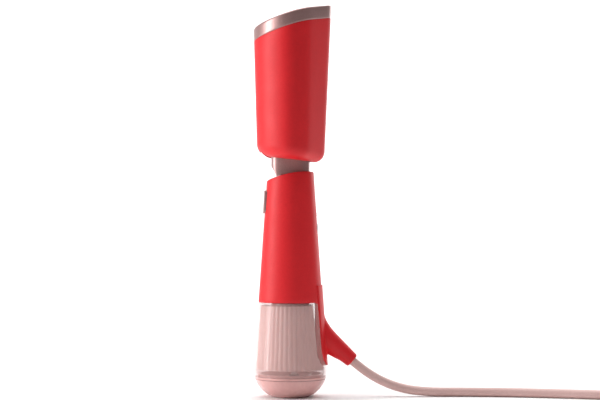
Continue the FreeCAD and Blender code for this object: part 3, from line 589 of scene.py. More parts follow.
@dataclass
class Tank:
    """The clear water tank that the steamer stands on.

    Args:
        wall: the clear wall's thickness.
        seam: the height at which the tank meets the grip.
        gap: the gap left at that seam.
        ring_low: the top of the solid foot.
        ring_high: the foot of the clear wall.
        flutes: the ribs round the inner sleeve.
        flute_depth: how deep the ribs are.
        recess_x: where the spine's flat recess stands.
        recess_half: the recess's half width.
        recess_end: the height of its rounded end's centre.
        mouth: the radius of the hole in the wall's top.
        slack: the gap between the wall and the sleeve.
    """

    wall: float = 0.0022
    seam: float = 0.0845
    gap: float = 0.0003
    ring_low: float = 0.0160
    ring_high: float = 0.0186
    flutes: int = 42
    flute_depth: float = 0.0008
    recess_x: float = 0.0217
    recess_half: float = 0.0153
    recess_end: float = 0.0430
    mouth: float = 0.01705
    slack: float = 0.00015

    def build(self) -> None:
        """Builds the wall, the ribbed sleeve, the ring, the foot and the collar."""
        self.shell()
        self.liner()
        self.foot()
        self.ring()
        dress_node("tank_collar", PALE_PINK)

    def recess(self, grow: float, name: str) -> Piece:
        """The space of the spine's tongue as a cutter.

        Args:
            grow: how far it is grown.
            name: the cutter's name.

        Returns:
            The cutter.
        """
        outline = tongue(self.recess_half + grow, self.recess_end, 2 * self.seam)
        return prism(name, outline, Axis.X, self.recess_x - grow, 0.06)

    def shell(self) -> None:
        """The clear outer wall with a softly rounded shoulder."""
        top = self.seam - self.gap
        bend = 0.0012
        side = CONE.side(self.ring_high, top - bend)
        shoulder = arc_points((CONE.radius(top) - bend, top - bend), bend, 0.0, 90.0, 5)[1:]
        outside = lathe("tank_wall", side + shoulder)
        carve(outside, self.recess(0.0, "recess"))
        hollow = lathe("hollow", CONE.side(self.ring_high - 0.001, top - 2 * bend, self.wall))
        carve(hollow, self.recess(self.wall, "recess_wall"))
        mouth = lathe("mouth", [(self.mouth, 0.05), (self.mouth, 0.1)])
        carve(outside, hollow, mouth)
        round_edges(outside, 0.0004)
        finish_piece(shade(outside), CLEAR_PINK, "tank", "clear_pink", "tank_shell")

    def liner(self) -> None:
        """The sleeve of upright ribs just inside the clear wall."""
        low, high = 0.0250, 0.0816
        depth, soft = self.flute_depth, 0.6 * self.flute_depth
        rings = [self.ribbed(low - 0.0004, 0.0006, soft)]
        rings += [self.ribbed(z, 0.0, depth) for z in spread(low, high, 8)]
        rings.append(self.ribbed(high + 0.0001, 0.0006, soft))
        rings += [self.ribbed(z, 0.0016, depth) for z in spread(high, low, 8)]
        sleeve = skin("tank_ribs", rings, closed=True)
        carve(sleeve, self.recess(self.wall + self.slack, "recess_gap"))
        finish_piece(shade(sleeve, 50.0), RIBBED_PINK, "tank", "ribbed_pink", "tank_liner")

    def ribbed(self, height: float, inset: float, depth: float) -> Ring:
        """One ring of the ribbed sleeve.

        Args:
            height: its height.
            inset: how far it is drawn in.
            depth: how deep the ribs are there.

        Returns:
            The ring.
        """
        per_flute = 10
        count = self.flutes * per_flute
        points = []
        for i in range(count):
            turn = 2 * math.pi * i / count
            swing = abs(math.sin(math.pi * i / per_flute))
            radius = CONE.radius(height) - self.wall - self.slack - inset
            radius -= depth * (1.0 - swing)
            points.append(Vector((radius * math.cos(turn), radius * math.sin(turn), height)))
        return points

    def foot(self) -> None:
        """The solid rounded foot, with a slight dish underneath."""
        flat = CONE.foot_radius(0.0)
        outer = [(CONE.foot_radius(z), z) for z in spread(0.0, self.ring_low, 16)]
        dish = [(0.001, 0.0011), (flat * 0.62, 0.0011), (flat * 0.70, 0.0010),
                (flat * 0.76, 0.0), (flat - 0.0008, 0.0)]
        lip = CONE.foot_radius(self.ring_low, self.wall)
        top = [(lip, self.ring_low), (lip - 0.00005, self.ring_high + self.wall),
               (CONE.foot_radius(self.ring_low, 2 * self.wall), self.ring_high + self.wall)]
        bowl = [(CONE.foot_radius(z, 2 * self.wall), z)
                for z in spread(self.ring_low, self.wall + 0.002, 8)]
        middle = [(0.008, self.wall), (0.001, self.wall)]
        piece = lathe("tank_base", dish + outer + top + bowl + middle)
        finish_piece(shade(piece), PALE_PINK, "tank", "pale_pink", "tank_foot")

    def ring(self) -> None:
        """The fine band between the foot and the clear wall, with a groove on each side."""
        inner = CONE.foot_radius(self.ring_low, self.wall) + 0.0001
        groove, deep, soft = 0.00015, 0.0005, 0.0003
        low, high = self.ring_low + groove, self.ring_high - groove
        outer = [(CONE.foot_radius(z) - sunk, z)
                 for z, sunk in ((low, deep), (low + soft, 0.0), (high - soft, 0.0), (high, deep))]
        piece = lathe("tank_band", [(inner, low)] + outer + [(inner, high)], closed=True)
        finish_piece(shade(piece), PALE_PINK, "tank", "pale_pink", "tank_ring")


@dataclass
class Grip:
    """The straight red grip in two halves, with its window, holes and bottom edge.

    Args:
        low: the seam above the tank.
        rim_arc: the radius of the cut across the grip's top.
        rim_x: where that cut is highest.
        rim_top: its greatest height.
        seat: the radius of the bore that clamps the neck.
        seat_low: the foot of that bore.
        wall: the shell's thickness.
        around: the points in each of its rings.
        screw_spots: the (x, z) places of its screws.
    """

    low: float = 0.0845
    rim_arc: float = 0.110
    rim_x: float = 0.020
    rim_top: float = 0.2012
    seat: float = 0.01725
    seat_low: float = 0.186
    wall: float = 0.0024
    around: int = 192
    screw_spots: tuple[tuple[float, float], ...] = ((-0.019, 0.105), (-0.0166, 0.152),
                                                    (0.0172, 0.176))

    def rim(self, radius_inset: float, drop: float) -> Ring:
        """A ring on the grip's cone that follows the curved top cut.

        Args:
            radius_inset: how far it is drawn in.
            drop: how far it lies under the cut.

        Returns:
            The ring.
        """
        points = []
        for i in range(self.around):
            turn = 2 * math.pi * i / self.around
            height = self.rim_top
            for _ in range(4):
                radius = CONE.radius(height) - radius_inset
                x = radius * math.cos(turn)
                height = self.rim_top - self.rim_arc - drop
                height += math.sqrt(self.rim_arc ** 2 - (x - self.rim_x) ** 2)
            points.append(Vector((x, radius * math.sin(turn), height)))
        return points

    def seat_ring(self) -> Ring:
        """The ring where the curved top meets the neck's bore.

        Returns:
            The ring.
        """
        points = []
        for i in range(self.around):
            turn = 2 * math.pi * i / self.around
            x, y = self.seat * math.cos(turn), self.seat * math.sin(turn)
            rise = math.sqrt(self.rim_arc ** 2 - (x - self.rim_x) ** 2)
            points.append(Vector((x, y, self.rim_top - self.rim_arc + rise)))
        return points

    def build(self) -> None:
        """Builds both halves."""
        levels = [(self.low, self.wall), (self.low, 0.0006), (self.low + 0.0002, 0.00015),
                  (self.low + 0.0006, 0.0)]
        levels += [(z, 0.0) for z in spread(self.low + 0.004, 0.188, 10)]
        rings = [circle(CONE.radius(z) - inset, z, self.around) for z, inset in levels]
        rings += [self.rim(0.0, 0.0012), self.rim(0.0001, 0.0007), self.rim(0.0004, 0.0002),
                  self.rim(0.0010, 0.0), self.seat_ring(),
                  circle(self.seat, self.seat_low, self.around),
                  circle(CONE.radius(self.seat_low) - self.wall, self.seat_low, self.around)]
        shell = skin("grip", rings, closed=True)
        carve(shell, *self.openings())
        for side, sign in (("left", -1.0), ("right", 1.0)):
            half = shell.copy()
            half.data = shell.data.copy()
            half.name = f"grip_{side}"
            bpy.context.scene.collection.objects.link(half)
            low_y, high_y = sorted((0.00003 * sign, 0.05 * sign))
            carve(half, block("side", (-0.05, low_y, 0.08), (0.05, high_y, 0.21)),
                  joining=Joining.COMMON)
            finish_piece(shade(half), RED_GLOSS, "handle", "red_shell", f"handle_shell_{side}")
        bpy.data.objects.remove(shell)

    def openings(self) -> list[Piece]:
        """The cutters for the trigger's window, the button, the lens, the spine and the screws.

        Returns:
            The cutters.
        """
        window = rounded_outline(0.0073, 0.1637, 0.1848, 0.0033)
        cutters = [prism("window", window, Axis.X, -0.04, -0.010)]
        for name, radius, height, count in (("button_hole", 0.0050, 0.150, 64),
                                            ("lens_hole", 0.0016, 0.163, 40)):
            hole = lathe(name, [(radius, 0.0), (radius, 0.03)], count=count)
            cutters.append(lay(hole, Facing.ALONG_X, Vector((0.012, 0.0, height))))
        cutters.append(block("spine_gap", (0.02185, -0.01515, 0.08), (0.06, 0.01515, 0.10015)))
        for x, z in self.screw_spots:
            well = lathe("screw_well", [(0.00315, 0.0), (0.00315, 0.03)], count=40)
            cutters.append(lay(well, Facing.ALONG_Y, Vector((x, 0.0085, z))))
        return cutters


def rounded_outline(half: float, low: float, high: float, corner: float) -> Outline:
    """A rectangle with round corners as (y, z) points.

    Args:
        half: its half width.
        low: its lower edge.
        high: its upper edge.
        corner: the radius of its corners.

    Returns:
        The points in order.
    """
    points = []
    for y, z, first in ((half - corner, low + corner, -90.0), (half - corner, high - corner, 0.0),
                        (corner - half, high - corner, 90.0), (corner - half, low + corner, 180.0)):
        points += arc_points((y, z), corner, first, first + 90.0, 8)
    return points


@dataclass
class Spine:
    """The red tongue behind the tank and the boom that carries the cord.

    Args:
        inner_x: the tongue's flat inner face.
        half: the tongue's half width.
        end: the height of its rounded end's centre.
        top: its upper edge.
        proud: how far it stands out of the grip.
        exit: the centre of the boom's end face.
        drop: how far the boom points down, in degrees.
        tip: the radius of its end.
    """

    inner_x: float = 0.022
    half: float = 0.015
    end: float = 0.043
    top: float = 0.100
    proud: float = 0.001
    exit: tuple[float, float] = (0.0556, 0.0319)
    drop: float = 41.0
    tip: float = 0.0067

    def build(self) -> None:
        """Builds the tongue, joins the boom to it and melts the two together."""
        swollen = [(CONE.radius(z) + self.proud, z) for z in spread(0.02, self.top, 20)]
        body = lathe("rear_tongue", swollen)
        plan = prism("plan", tongue(self.half, self.end, 0.2), Axis.X, self.inner_x, 0.06)
        carve(body, plan, joining=Joining.COMMON)
        carve(body, self.boom(), joining=Joining.ADD)
        melt(body, 0.00042, 5)
        behind = block("behind", (-0.06, -0.05, 0.0), (self.inner_x, 0.05, 0.2))
        carve(body, behind, self.taper(0.0052, 0.0056, 0.002, "mouth"))
        finish_piece(shade(body), RED_GLOSS, "handle", "red_shell", "rear_spine")
        self.bush()

    def frame(self) -> tuple[Vector, Vector, Vector]:
        """The boom's end.

        Returns:
            The middle of its end face, the way that it points, and the way square to that.
        """
        drop = math.radians(self.drop)
        return (Vector((self.exit[0], 0.0, self.exit[1])),
                Vector((math.cos(drop), 0.0, -math.sin(drop))),
                Vector((math.sin(drop), 0.0, math.cos(drop))))

    def boom(self) -> Piece:
        """A swan-necked horn that runs out of the tongue's back and narrows to the cord.

        Returns:
            The horn.
        """
        tip, ahead, square = self.frame()
        upper = [Vector((x, 0, z)) for x, z in ((0.0262, 0.0880), (0.0290, 0.0800), (0.0313, 0.0705),
                                                (0.0352, 0.0635), (0.0405, 0.0570))]
        lower = [Vector((x, 0, z)) for x, z in ((0.0262, 0.0330), (0.0272, 0.0345), (0.0290, 0.0370),
                                                (0.0322, 0.0382), (0.0385, 0.0350))]
        for back, reach in ((0.0085, 0.0073), (0.0013, self.tip)):
            upper.append(tip - ahead * back + square * reach)
            lower.append(tip - ahead * back - square * reach)
        widths = [Vector((width, 0, 0)) for width in (0.0060, 0.0072, 0.0084, 0.0088, 0.0086,
                                                      0.0073, self.tip)]
        rings = []
        for share in spread(0.0, len(upper) - 1.0, 40):
            rings.append(self.oval(along(upper, share), along(lower, share),
                                   along(widths, share).x, 72))
        for lift, shrink in ((0.0006, 0.0003), (0.0011, 0.0007), (0.0013, 0.0014)):
            centre = tip - ahead * (0.0013 - lift)
            reach = self.tip - shrink
            rings.append(self.oval(centre + square * reach, centre - square * reach, reach, 72))
        return skin("boom", rings)

    def oval(self, high: Vector, low: Vector, width: float, count: int) -> Ring:
        """An ellipse between two points of the side outline.

        Args:
            high: the upper point.
            low: the lower point.
            width: its half width along Y.
            count: its points.

        Returns:
            The ellipse.
        """
        middle = (high + low) / 2
        rise = (high - low) / 2
        step = 2 * math.pi / count
        return [middle + rise * math.cos(i * step) + Vector((0, width * math.sin(i * step), 0))
                for i in range(count)]

    def taper(self, tip: float, root: float, past: float, name: str) -> Piece:
        """A taper along the boom's axis, from deep inside it.

        Args:
            tip: the taper's radius at its outer end.
            root: its radius at its inner end.
            past: how far it stands past the boom's end.
            name: the object's name.

        Returns:
            The taper.
        """
        end, ahead, square = self.frame()
        rings = []
        for distance, radius in ((-0.022, root), (past, tip)):
            centre = end + ahead * distance
            rings.append(self.oval(centre + square * radius, centre - square * radius, radius, 64))
        return skin(name, rings)

    def bush(self) -> None:
        """The rubber bush in the boom's mouth."""
        piece = self.taper(0.00515, 0.00555, -0.0004, "cord_bush_ring")
        round_edges(piece, 0.0004)
        finish_piece(shade(piece), SEAL_RUBBER, "handle", "seal_rubber", "cord_bush")


def along(points: list[Vector], share: float) -> Vector:
    """A point on a smooth curve through several points.

    Args:
        points: the points that the curve passes.
        share: the place on it, one unit for each stretch.

    Returns:
        The point there.
    """
    last = len(points) - 1
    i = min(int(share), last - 1)
    t = share - i
    a, b = points[max(i - 1, 0)], points[i]
    c, d = points[i + 1], points[min(i + 2, last)]
    return 0.5 * ((2 * b) + (c - a) * t + (2 * a - 5 * b + 4 * c - d) * t * t
                  + (3 * b - a - 3 * c + d) * t ** 3)


@dataclass
class Neck:
    """The fixed barrel of the hinge, with its domed knuckle.

    Args:
        radius: the barrel's radius.
        low: its foot inside the grip.
        pivot: the height of the hinge's axis.
        tongue: the tongue's half thickness.
        shoulder: the height of the shoulders beside the tongue.
        shoulder_x: where they begin to slope down towards the front.
        shoulder_slope: that slope.
        soft: the height over which the barrel runs into the tongue.
        relief: how far the front stands out just above the grip.
    """

    radius: float = 0.0172
    low: float = 0.186
    pivot: float = 0.219
    tongue: float = 0.010
    shoulder: float = 0.199
    shoulder_x: float = 0.008
    shoulder_slope: float = 0.978
    soft: float = 0.0025
    relief: float = 0.0125

    def build(self) -> None:
        """Builds the barrel and its tongue, with the front relief, the bore and the pin holes."""
        heights = spread(self.low, self.low + 0.004, 2) + [0.1920, 0.1938]
        heights += spread(0.1940, 0.2000, 6) + spread(0.2000, 0.2180, 12)[1:]
        levels = [(self.radius, height) for height in heights]
        levels += arc_points((0.0, self.pivot), self.radius, 2.0, 84.0, 20)
        barrel = skin("hinge_neck", [self.section(radius, height) for radius, height in levels])
        bore = lathe("bore", [(0.0075, 0.18), (0.0075, 0.25)], count=64)
        pin = lathe("pin", [(0.00305, -0.03), (0.00305, 0.03)], count=48)
        carve(barrel, bore, lay(pin, Facing.ALONG_Y, Vector((0.0, 0.0, self.pivot))))
        finish_piece(shade(barrel), ROSE_LACQUER, "handle", "rose_metal", "neck")

    def front(self, height: float) -> float:
        """How far the front may stand out, where the head swings past.

        Args:
            height: the height.

        Returns:
            The distance from the axis.
        """
        if height < 0.1939:
            return self.radius
        rise = min(max((height - 0.196) / 0.010, 0.0), 1.0)
        return self.relief + (self.radius - self.relief) * rise ** 1.4

    def section(self, radius: float, height: float) -> Ring:
        """The section at a height: a round barrel below, a softly rounded blade above.

        Args:
            radius: the barrel's radius there.
            height: the height.

        Returns:
            The ring.
        """
        ring = []
        power, count = 2.6, 144
        for i in range(count):
            turn = 2 * math.pi * i / count
            across, along_y = math.cos(turn), math.sin(turn)
            bulge = (abs(across) ** power + abs(along_y) ** power) ** (-1 / power)
            wide, thick = radius * across * bulge, self.tongue * along_y * bulge
            room = math.sqrt(max(radius ** 2 - wide ** 2, 0.0))
            thick = math.copysign(min(abs(thick), room), along_y)
            shoulder = self.shoulder
            shoulder -= max(-radius * across - self.shoulder_x, 0.0) * self.shoulder_slope
            share = min(max((height - shoulder + self.soft) / self.soft, 0.0), 1.0)
            share = share * share * (3 - 2 * share)
            x = radius * across * (1 - share) + wide * share
            y = radius * along_y * (1 - share) + thick * share
            ring.append(Vector((max(x, -self.front(height)), y, height)))
        return ring


@dataclass
class HeadPlan:
    """The head's rounded three-sided plan, which widens upwards.

    Args:
        low: the height of the lower given section.
        high: the height of the upper given section.
        front: how far the front stands from the axis at each.
        back: how far the back stands from the axis at each.
        side: the half width at each.
        softening: the passes that even out the outline's curvature.
    """

    softening: int = 10
    low: float = 0.205
    high: float = 0.345
    front: tuple[float, float] = (0.0298, 0.0338)
    back: tuple[float, float] = (0.0300, 0.0364)
    side: tuple[float, float] = (0.0350, 0.0400)

    def section(self, height: float, inset: float) -> Outline:
        """The plan's outline at a height, always with as many points.

        Args:
            height: the height.
            inset: how far it is drawn in.

        Returns:
            The (x, y) points.
        """
        share = (height - self.low) / (self.high - self.low)
        front = -(self.front[0] + (self.front[1] - self.front[0]) * share)
        back = self.back[0] + (self.back[1] - self.back[0]) * share
        half = self.side[0] + (self.side[1] - self.side[0]) * share
        side_radius, tip_radius = 0.55 * half, 0.35 * half
        side_y, tip_x = half - side_radius, back - tip_radius
        front_radius = side_radius ** 2 - front ** 2 - side_y ** 2
        front_radius /= 2 * (front + side_radius)
        front_x = front + front_radius
        flank = math.atan2(side_y, -tip_x)
        flank -= math.acos((tip_radius - side_radius) / math.hypot(tip_x, side_y))
        shoulder = math.atan2(side_y, -front_x)
        turn, back_turn = math.degrees(flank), math.degrees(shoulder)
        tip = arc_points((tip_x, 0.0), tip_radius - inset, 0.0, turn, 14)
        upper = arc_points((0.0, side_y), side_radius - inset, turn, back_turn, 26)
        brow = arc_points((front_x, 0.0), front_radius - inset, back_turn, 180.0, 22)
        (ax, ay), (bx, by) = tip[-1], upper[0]
        flat = [(ax + (bx - ax) * i / 14, ay + (by - ay) * i / 14) for i in range(1, 14)]
        half_loop = tip + flat + upper + brow[1:]
        mirrored = [(x, -y) for x, y in reversed(half_loop[1:-1])]
        return self.soften(half_loop + mirrored)

    def soften(self, loop: Outline) -> Outline:
        """Spreads sudden changes of an outline's curvature over its neighbours.

        Args:
            loop: the outline.

        Returns:
            The softer outline.
        """
        for _ in range(self.softening):
            loop = [((ax + 2 * bx + cx) / 4, (ay + 2 * by + cy) / 4)
                    for (ax, ay), (bx, by), (cx, cy)
                    in zip(loop[-1:] + loop[:-1], loop, loop[1:] + loop[:1])]
        return loop

    def ring(self, level: float, slope: float, inset: float) -> Ring:
        """The outline cut by the sloping plane z = level + slope x.

        Args:
            level: the plane's height at the axis.
            slope: its rise along X.
            inset: how far the outline is drawn in.

        Returns:
            The ring.
        """
        bottom, top = 0.18, 0.38
        points = []
        for (xa, ya), (xb, yb) in zip(self.section(bottom, inset), self.section(top, inset)):
            run = (xb - xa) / (top - bottom)
            height = (level + slope * (xa - run * bottom)) / (1.0 - slope * run)
            share = (height - bottom) / (top - bottom)
            points.append(Vector((xa + (xb - xa) * share, ya + (yb - ya) * share, height)))
        return points


@dataclass
class Head:
    """The tilting head: cover, metal band and drilled plate.

    Args:
        plan: the outline that every part of the head shares.
        under: the height of the underside at the axis.
        under_slope: the underside's slope along X.
        rim: the height of the cover's rim plane at the axis.
        face: the height of the band's face at the axis.
        slope: the slope of rim and face along X.
        corner: the rounding round the underside.
        wall: the cover's thickness.
        pivot: the height of the hinge's axis.
        tilt: the tilt's limit in degrees.
    """

    plan: HeadPlan = field(default_factory=HeadPlan)
    under: float = 0.2120
    under_slope: float = -0.11
    rim: float = 0.3278
    face: float = 0.3395
    slope: float = 0.3043
    corner: float = 0.0105
    wall: float = 0.0025
    pivot: float = 0.219
    tilt: float = 48.0

    def build(self) -> None:
        """Builds the cover and the band, and dresses the plate and the pocket."""
        self.cover()
        self.band()
        dress_node("steam_plate", PLATE_STEEL)
        dress_node("hinge_pocket", GREY_PLASTIC)

    def bowl(self, name: str, inset: float, top: float, lip: float) -> Piece:
        """The head's closed body with a rounded bottom and lip.

        Args:
            name: the object's name.
            inset: how far it is drawn in.
            top: the height of its top at the axis.
            lip: the rounding of its upper edge.

        Returns:
            The body.
        """
        corner = self.corner - inset
        low = self.under + inset
        steps, levels = 9, 14
        rings = []
        for i in range(steps + 1):
            turn = math.radians(90.0 * i / steps)
            rings.append(self.plan.ring(low + corner * (1 - math.cos(turn)), self.under_slope,
                                        inset + corner * (1 - math.sin(turn))))
        for i in range(1, levels):
            share = i / levels
            level = (low + corner) * (1 - share) + (top - lip) * share
            slope = self.under_slope * (1 - share) + self.slope * share
            rings.append(self.plan.ring(level, slope, inset))
        rings += [self.plan.ring(top - lip, self.slope, inset),
                  self.plan.ring(top - lip * 0.3, self.slope, inset + lip * 0.3),
                  self.plan.ring(top, self.slope, inset + lip)]
        return skin(name, rings)

    def slot(self, gap: float, half: float, name: str) -> Piece:
        """The space that the neck sweeps in the head from upright to its tilt's limit.

        Args:
            gap: the gap in front of and behind the neck.
            half: the slot's half width.
            name: the cutter's name.

        Returns:
            The cutter.
        """
        radius = 0.0172 + gap
        arc = arc_points((0.0, self.pivot), radius, 0.0, 180.0 - self.tilt, 28)
        x, z = arc[-1]
        tilt = math.radians(self.tilt)
        reach = (x - 0.05 * math.sin(tilt), z - 0.05 * math.cos(tilt))
        outline = arc + [reach, (reach[0], 0.17), (radius, 0.17)]
        return prism(name, outline, Axis.Y, -half, half)

    def cover(self) -> None:
        """The red cover with its slot for the neck."""
        cover = self.bowl("head_cover", 0.0, self.rim, 0.0005)
        hollow = self.bowl("hollow", self.wall, self.rim + 0.004, 0.0002)
        carve(cover, hollow, self.slot(0.0007, 0.0107, "slot"))
        finish_piece(shade(cover), RED_GLOSS, "head", "red_shell", "head_shell")

    def band(self) -> None:
        """The metal band with a rounded outer edge and a soft inner lip."""
        plan, slope, width, edge = self.plan, self.slope, 0.0070, 0.0020
        rings = [plan.ring(self.rim + 0.00005, slope, width),
                 plan.ring(self.rim + 0.00005, slope, 0.0006),
                 plan.ring(self.rim + 0.0002, slope, 0.0002),
                 plan.ring(self.rim + 0.0006, slope, 0.0)]
        rings += [plan.ring(level, slope, 0.0)
                  for level in spread(self.rim, self.face - edge, 5)[1:-1]]
        for i in range(9):
            turn = math.radians(90.0 * i / 8)
            rings.append(plan.ring(self.face - edge * (1 - math.sin(turn)), slope,
                                   edge * (1 - math.cos(turn))))
        rings += [plan.ring(self.face, slope, width - 0.0008),
                  plan.ring(self.face - 0.0002, slope, width - 0.0003),
                  plan.ring(self.face - 0.0007, slope, width)]
        band = skin("plate_band_ring", rings, closed=True)
        finish_piece(shade(band, 40.0), ROSE_LACQUER, "head", "rose_metal", "plate_band")


@dataclass
class Controls:
    """The trigger in the grip's front and the button and lens in its back.

    Args:
        trigger_low: the trigger's lower edge.
        trigger_high: its upper edge.
        proud: how far it stands out of the grip.
        button_height: the height of the button's middle.
    """

    trigger_low: float = 0.164
    trigger_high: float = 0.1845
    proud: float = 0.0017
    button_height: float = 0.150

    def build(self) -> None:
        """Builds the trigger and the button and dresses the lens."""
        self.trigger()
        self.button()
        dress_node("indicator_lens", LENS)

    def trigger(self) -> None:
        """A rounded pad that stands a little out of the grip."""
        face = lathe("trigger_pad", [
            (CONE.radius(self.trigger_low) + self.proud, self.trigger_low - 0.002),
            (CONE.radius(self.trigger_high) + self.proud, self.trigger_high + 0.002)])
        outline = rounded_outline(0.0070, self.trigger_low, self.trigger_high, 0.003)
        pad = prism("pad", outline, Axis.X, -0.04, -0.0164)
        carve(face, pad, joining=Joining.COMMON)
        round_edges(face, 0.0008, 4)
        finish_piece(shade(face), ROSE_LACQUER, "trigger", "rose_metal", "trigger")

    def button(self) -> None:
        """A round button with a shallow dish for the thumb."""
        face = CONE.radius(self.button_height)
        depth = 0.0040
        profile = [(0.0047, 0.0), (0.0047, depth - 0.0003), (0.0044, depth), (0.0038, depth),
                   (0.0030, depth - 0.0003), (0.0015, depth - 0.0005), (0.0004, depth - 0.00055)]
        button = lathe("power_cap", profile, count=64)
        lay(button, Facing.ALONG_X, Vector((face - depth + 0.0001, 0.0, self.button_height)))
        finish_piece(shade(button), ROSE_LACQUER, "power_button", "rose_metal", "power_button")


@dataclass
class MainsCord:
    """The mains cord with its coil, tie and plug.

    Args:
        diameter: the cord's diameter.
        length: not used.
        centre: the coil's centre.
        inner: the mean radius of the coil's smallest turn.
        outer: the mean radius of its largest.
        turns: the turns in each of the coil's two layers.
        steps: the points in each turn.
        sleeve: the centre of the plug's sleeve where the cord goes in.
        bulge: how far the tail swings out before it turns back.
        climb: the share of the tail's rise at each corner of its turn.
        route: the cord's points from the boom to the coil.
    """

    diameter: float = 0.008
    length: float = 1.9
    centre: tuple[float, float] = (0.346, 0.014)
    inner: float = 0.0257
    outer: float = 0.050
    turns: int = 3
    steps: int = 24
    sleeve: tuple[float, float, float] = (0.366, 0.053, 0.0293)
    bulge: float = 0.0012
    climb: tuple[float, ...] = (0.10, 0.25, 0.45, 0.70, 0.96)
    route: tuple[tuple[float, float, float], ...] = (
        (0.0556, 0.0, 0.0319), (0.0655, 0.0, 0.0233), (0.0820, 0.0002, 0.0134),
        (0.1010, 0.0, 0.0066), (0.1240, -0.0008, 0.0040), (0.1570, -0.0004, 0.0040),
        (0.1960, -0.0046, 0.0040), (0.2360, -0.0142, 0.0040), (0.2760, -0.0256, 0.0040),
        (0.3120, -0.0344, 0.0040))

    def build(self) -> None:
        points = [Vector(point) for point in self.route] + self.coil() + self.end()
        curve = bpy.data.curves.new("mains_cord", "CURVE")
        curve.dimensions = "3D"
        curve.bevel_depth = self.diameter / 2
        curve.bevel_resolution = 8
        curve.resolution_u = 5
        curve.use_fill_caps = True
        spline = curve.splines.new("NURBS")
        spline.points.add(len(points) - 1)
        for spot, point in zip(spline.points, points):
            spot.co = (*point, 1.0)
        spline.order_u = 3
        spline.use_endpoint_u = True
        cord = bpy.data.objects.new("mains_cord", curve)
        bpy.context.scene.collection.objects.link(cord)
        finish_piece(cord, CORD_PINK, "handle", "cord_pink", "power_cord", "cord_coil", "cord_tail")
        pieces = [self.plug_body(), self.pins(), self.tie()]

    def coil(self) -> list[Vector]:
        """The coil's turns: inwards on the floor, then outwards on top of them.

        Returns:
            The points in order.
        """
        points = []
        layer = self.turns * self.steps
        for i in range(2 * layer + 1):
            turn = -math.pi / 2 + 2 * math.pi * i / self.steps
            share = i / layer if i <= layer else 2 - i / layer
            radius = self.outer - (self.outer - self.inner) * share
            climb = min(max((i - layer) / 8 + 0.5, 0.0), 1.0)
            climb = climb * climb * (3 - 2 * climb)
            points.append(Vector((self.centre[0] + radius * math.cos(turn),
                                  self.centre[1] + radius * math.sin(turn),
                                  self.diameter / 2 + self.diameter * climb)))
        return points

    def end(self) -> list[Vector]:
        """The tail from the coil's last turn, half a turn round and up to the plug.

        Returns:
            The points in order.
        """
        edge, low = self.centre[1] - self.outer, self.diameter * 1.5
        x, y, z = self.sleeve
        rise, bend = z - low, (y - edge) / 2
        step = math.pi / len(self.climb)
        half_run = bend * math.tan(step / 2)
        middle, reach = x + half_run, bend / math.cos(step / 2)
        points = [Vector(((self.centre[0] + middle + half_run) / 2, edge - self.bulge,
                          low + 0.03 * rise))]
        for i, share in enumerate(self.climb):
            turn = step * (i + 0.5) - math.pi / 2
            points.append(Vector((middle + reach * math.cos(turn),
                                  edge + bend + reach * math.sin(turn), low + share * rise)))
        return points + [Vector(self.sleeve)]

    def plug_body(self) -> Piece:
        """The moulded plug: a ribbed sleeve, a waisted grip and a flat face.

        Returns:
            The plug.
        """
        half = self.diameter / 2
        profile = [(half + 0.0001, 0.0), (half + 0.0005, 0.0004)]
        for i in range(6):
            start = 0.0015 + i * 0.0033
            radius = half + 0.0006 + (0.0065 - half - 0.0006) * i / 6
            profile += [(radius + 0.0004, start), (radius + 0.0004, start + 0.0017),
                        (radius - 0.0003, start + 0.0021), (radius - 0.0003, start + 0.0029)]
        profile += [(0.0066, 0.0218), (0.0085, 0.0224), (0.0102, 0.0245), (0.0122, 0.0280),
                    (0.0129, 0.0310), (0.0126, 0.0360), (0.0122, 0.0410), (0.0126, 0.0460),
                    (0.0130, 0.0495), (0.0130, 0.0512), (0.0126, 0.0518), (0.0118, 0.0520),
                    (0.0004, 0.0520)]
        body = lathe("plug_moulding", profile, count=96)
        lay(body, Facing.AGAINST_X, Vector(self.sleeve))
        return finish_piece(shade(body), CORD_PINK, "handle", "cord_pink", "plug_body")

    def pins(self) -> Piece:
        """Two round pins with rounded ends.

        Returns:
            The pair as one piece.
        """
        profile = [(0.0024, 0.0), (0.0024, 0.0172), (0.0021, 0.0183), (0.0013, 0.0189),
                   (0.0003, 0.0190)]
        pair = []
        for side in (-0.0095, 0.0095):
            pin = lathe("plug_pin_pair", profile, count=40)
            pair.append(lay(pin, Facing.AGAINST_X, Vector(self.sleeve) + Vector((-0.052, side, 0.0))))
        join(pair)
        return finish_piece(shade(pair[0]), BRIGHT_STEEL, "handle", "bright_steel", "plug_pins")

    def tie(self) -> Piece:
        """A woven strap over the coil's bundle of turns.

        Returns:
            The strap.
        """
        half_width, wall, out = 0.006, 0.0012, 0.0003
        x = self.centre[0] - self.outer - self.diameter / 2
        hole = self.inner - self.diameter / 2
        length = self.outer - self.inner + self.diameter
        length += hole - math.sqrt(hole ** 2 - half_width ** 2)
        top = self.diameter * 2
        outer = strap_outline(x - wall - out, x + length + wall + out, top + wall, 0.005)
        inner = strap_outline(x - out, x + length + out, top + out, 0.0038)
        y = self.centre[1]
        strap = prism("coil_strap", outer + inner[::-1], Axis.Y, y - half_width, y + half_width)
        round_edges(strap, 0.0003)
        return finish_piece(shade(strap), STRAP, "handle", "seal_rubber", "coil_tie")


def strap_outline(left: float, right: float, top: float, corner: float) -> Outline:
    """An upside-down U with round shoulders.

    Args:
        left: the left foot's place.
        right: the right foot's place.
        top: the height of its top.
        corner: the radius of its shoulders.

    Returns:
        The (x, z) points from the left foot to the right foot.
    """
    points = [(left, 0.0002)]
    points += arc_points((left + corner, top - corner), corner, 180.0, 90.0, 8)
    points += arc_points((right - corner, top - corner), corner, 90.0, 0.0, 8)
    return points + [(right, 0.0002)]


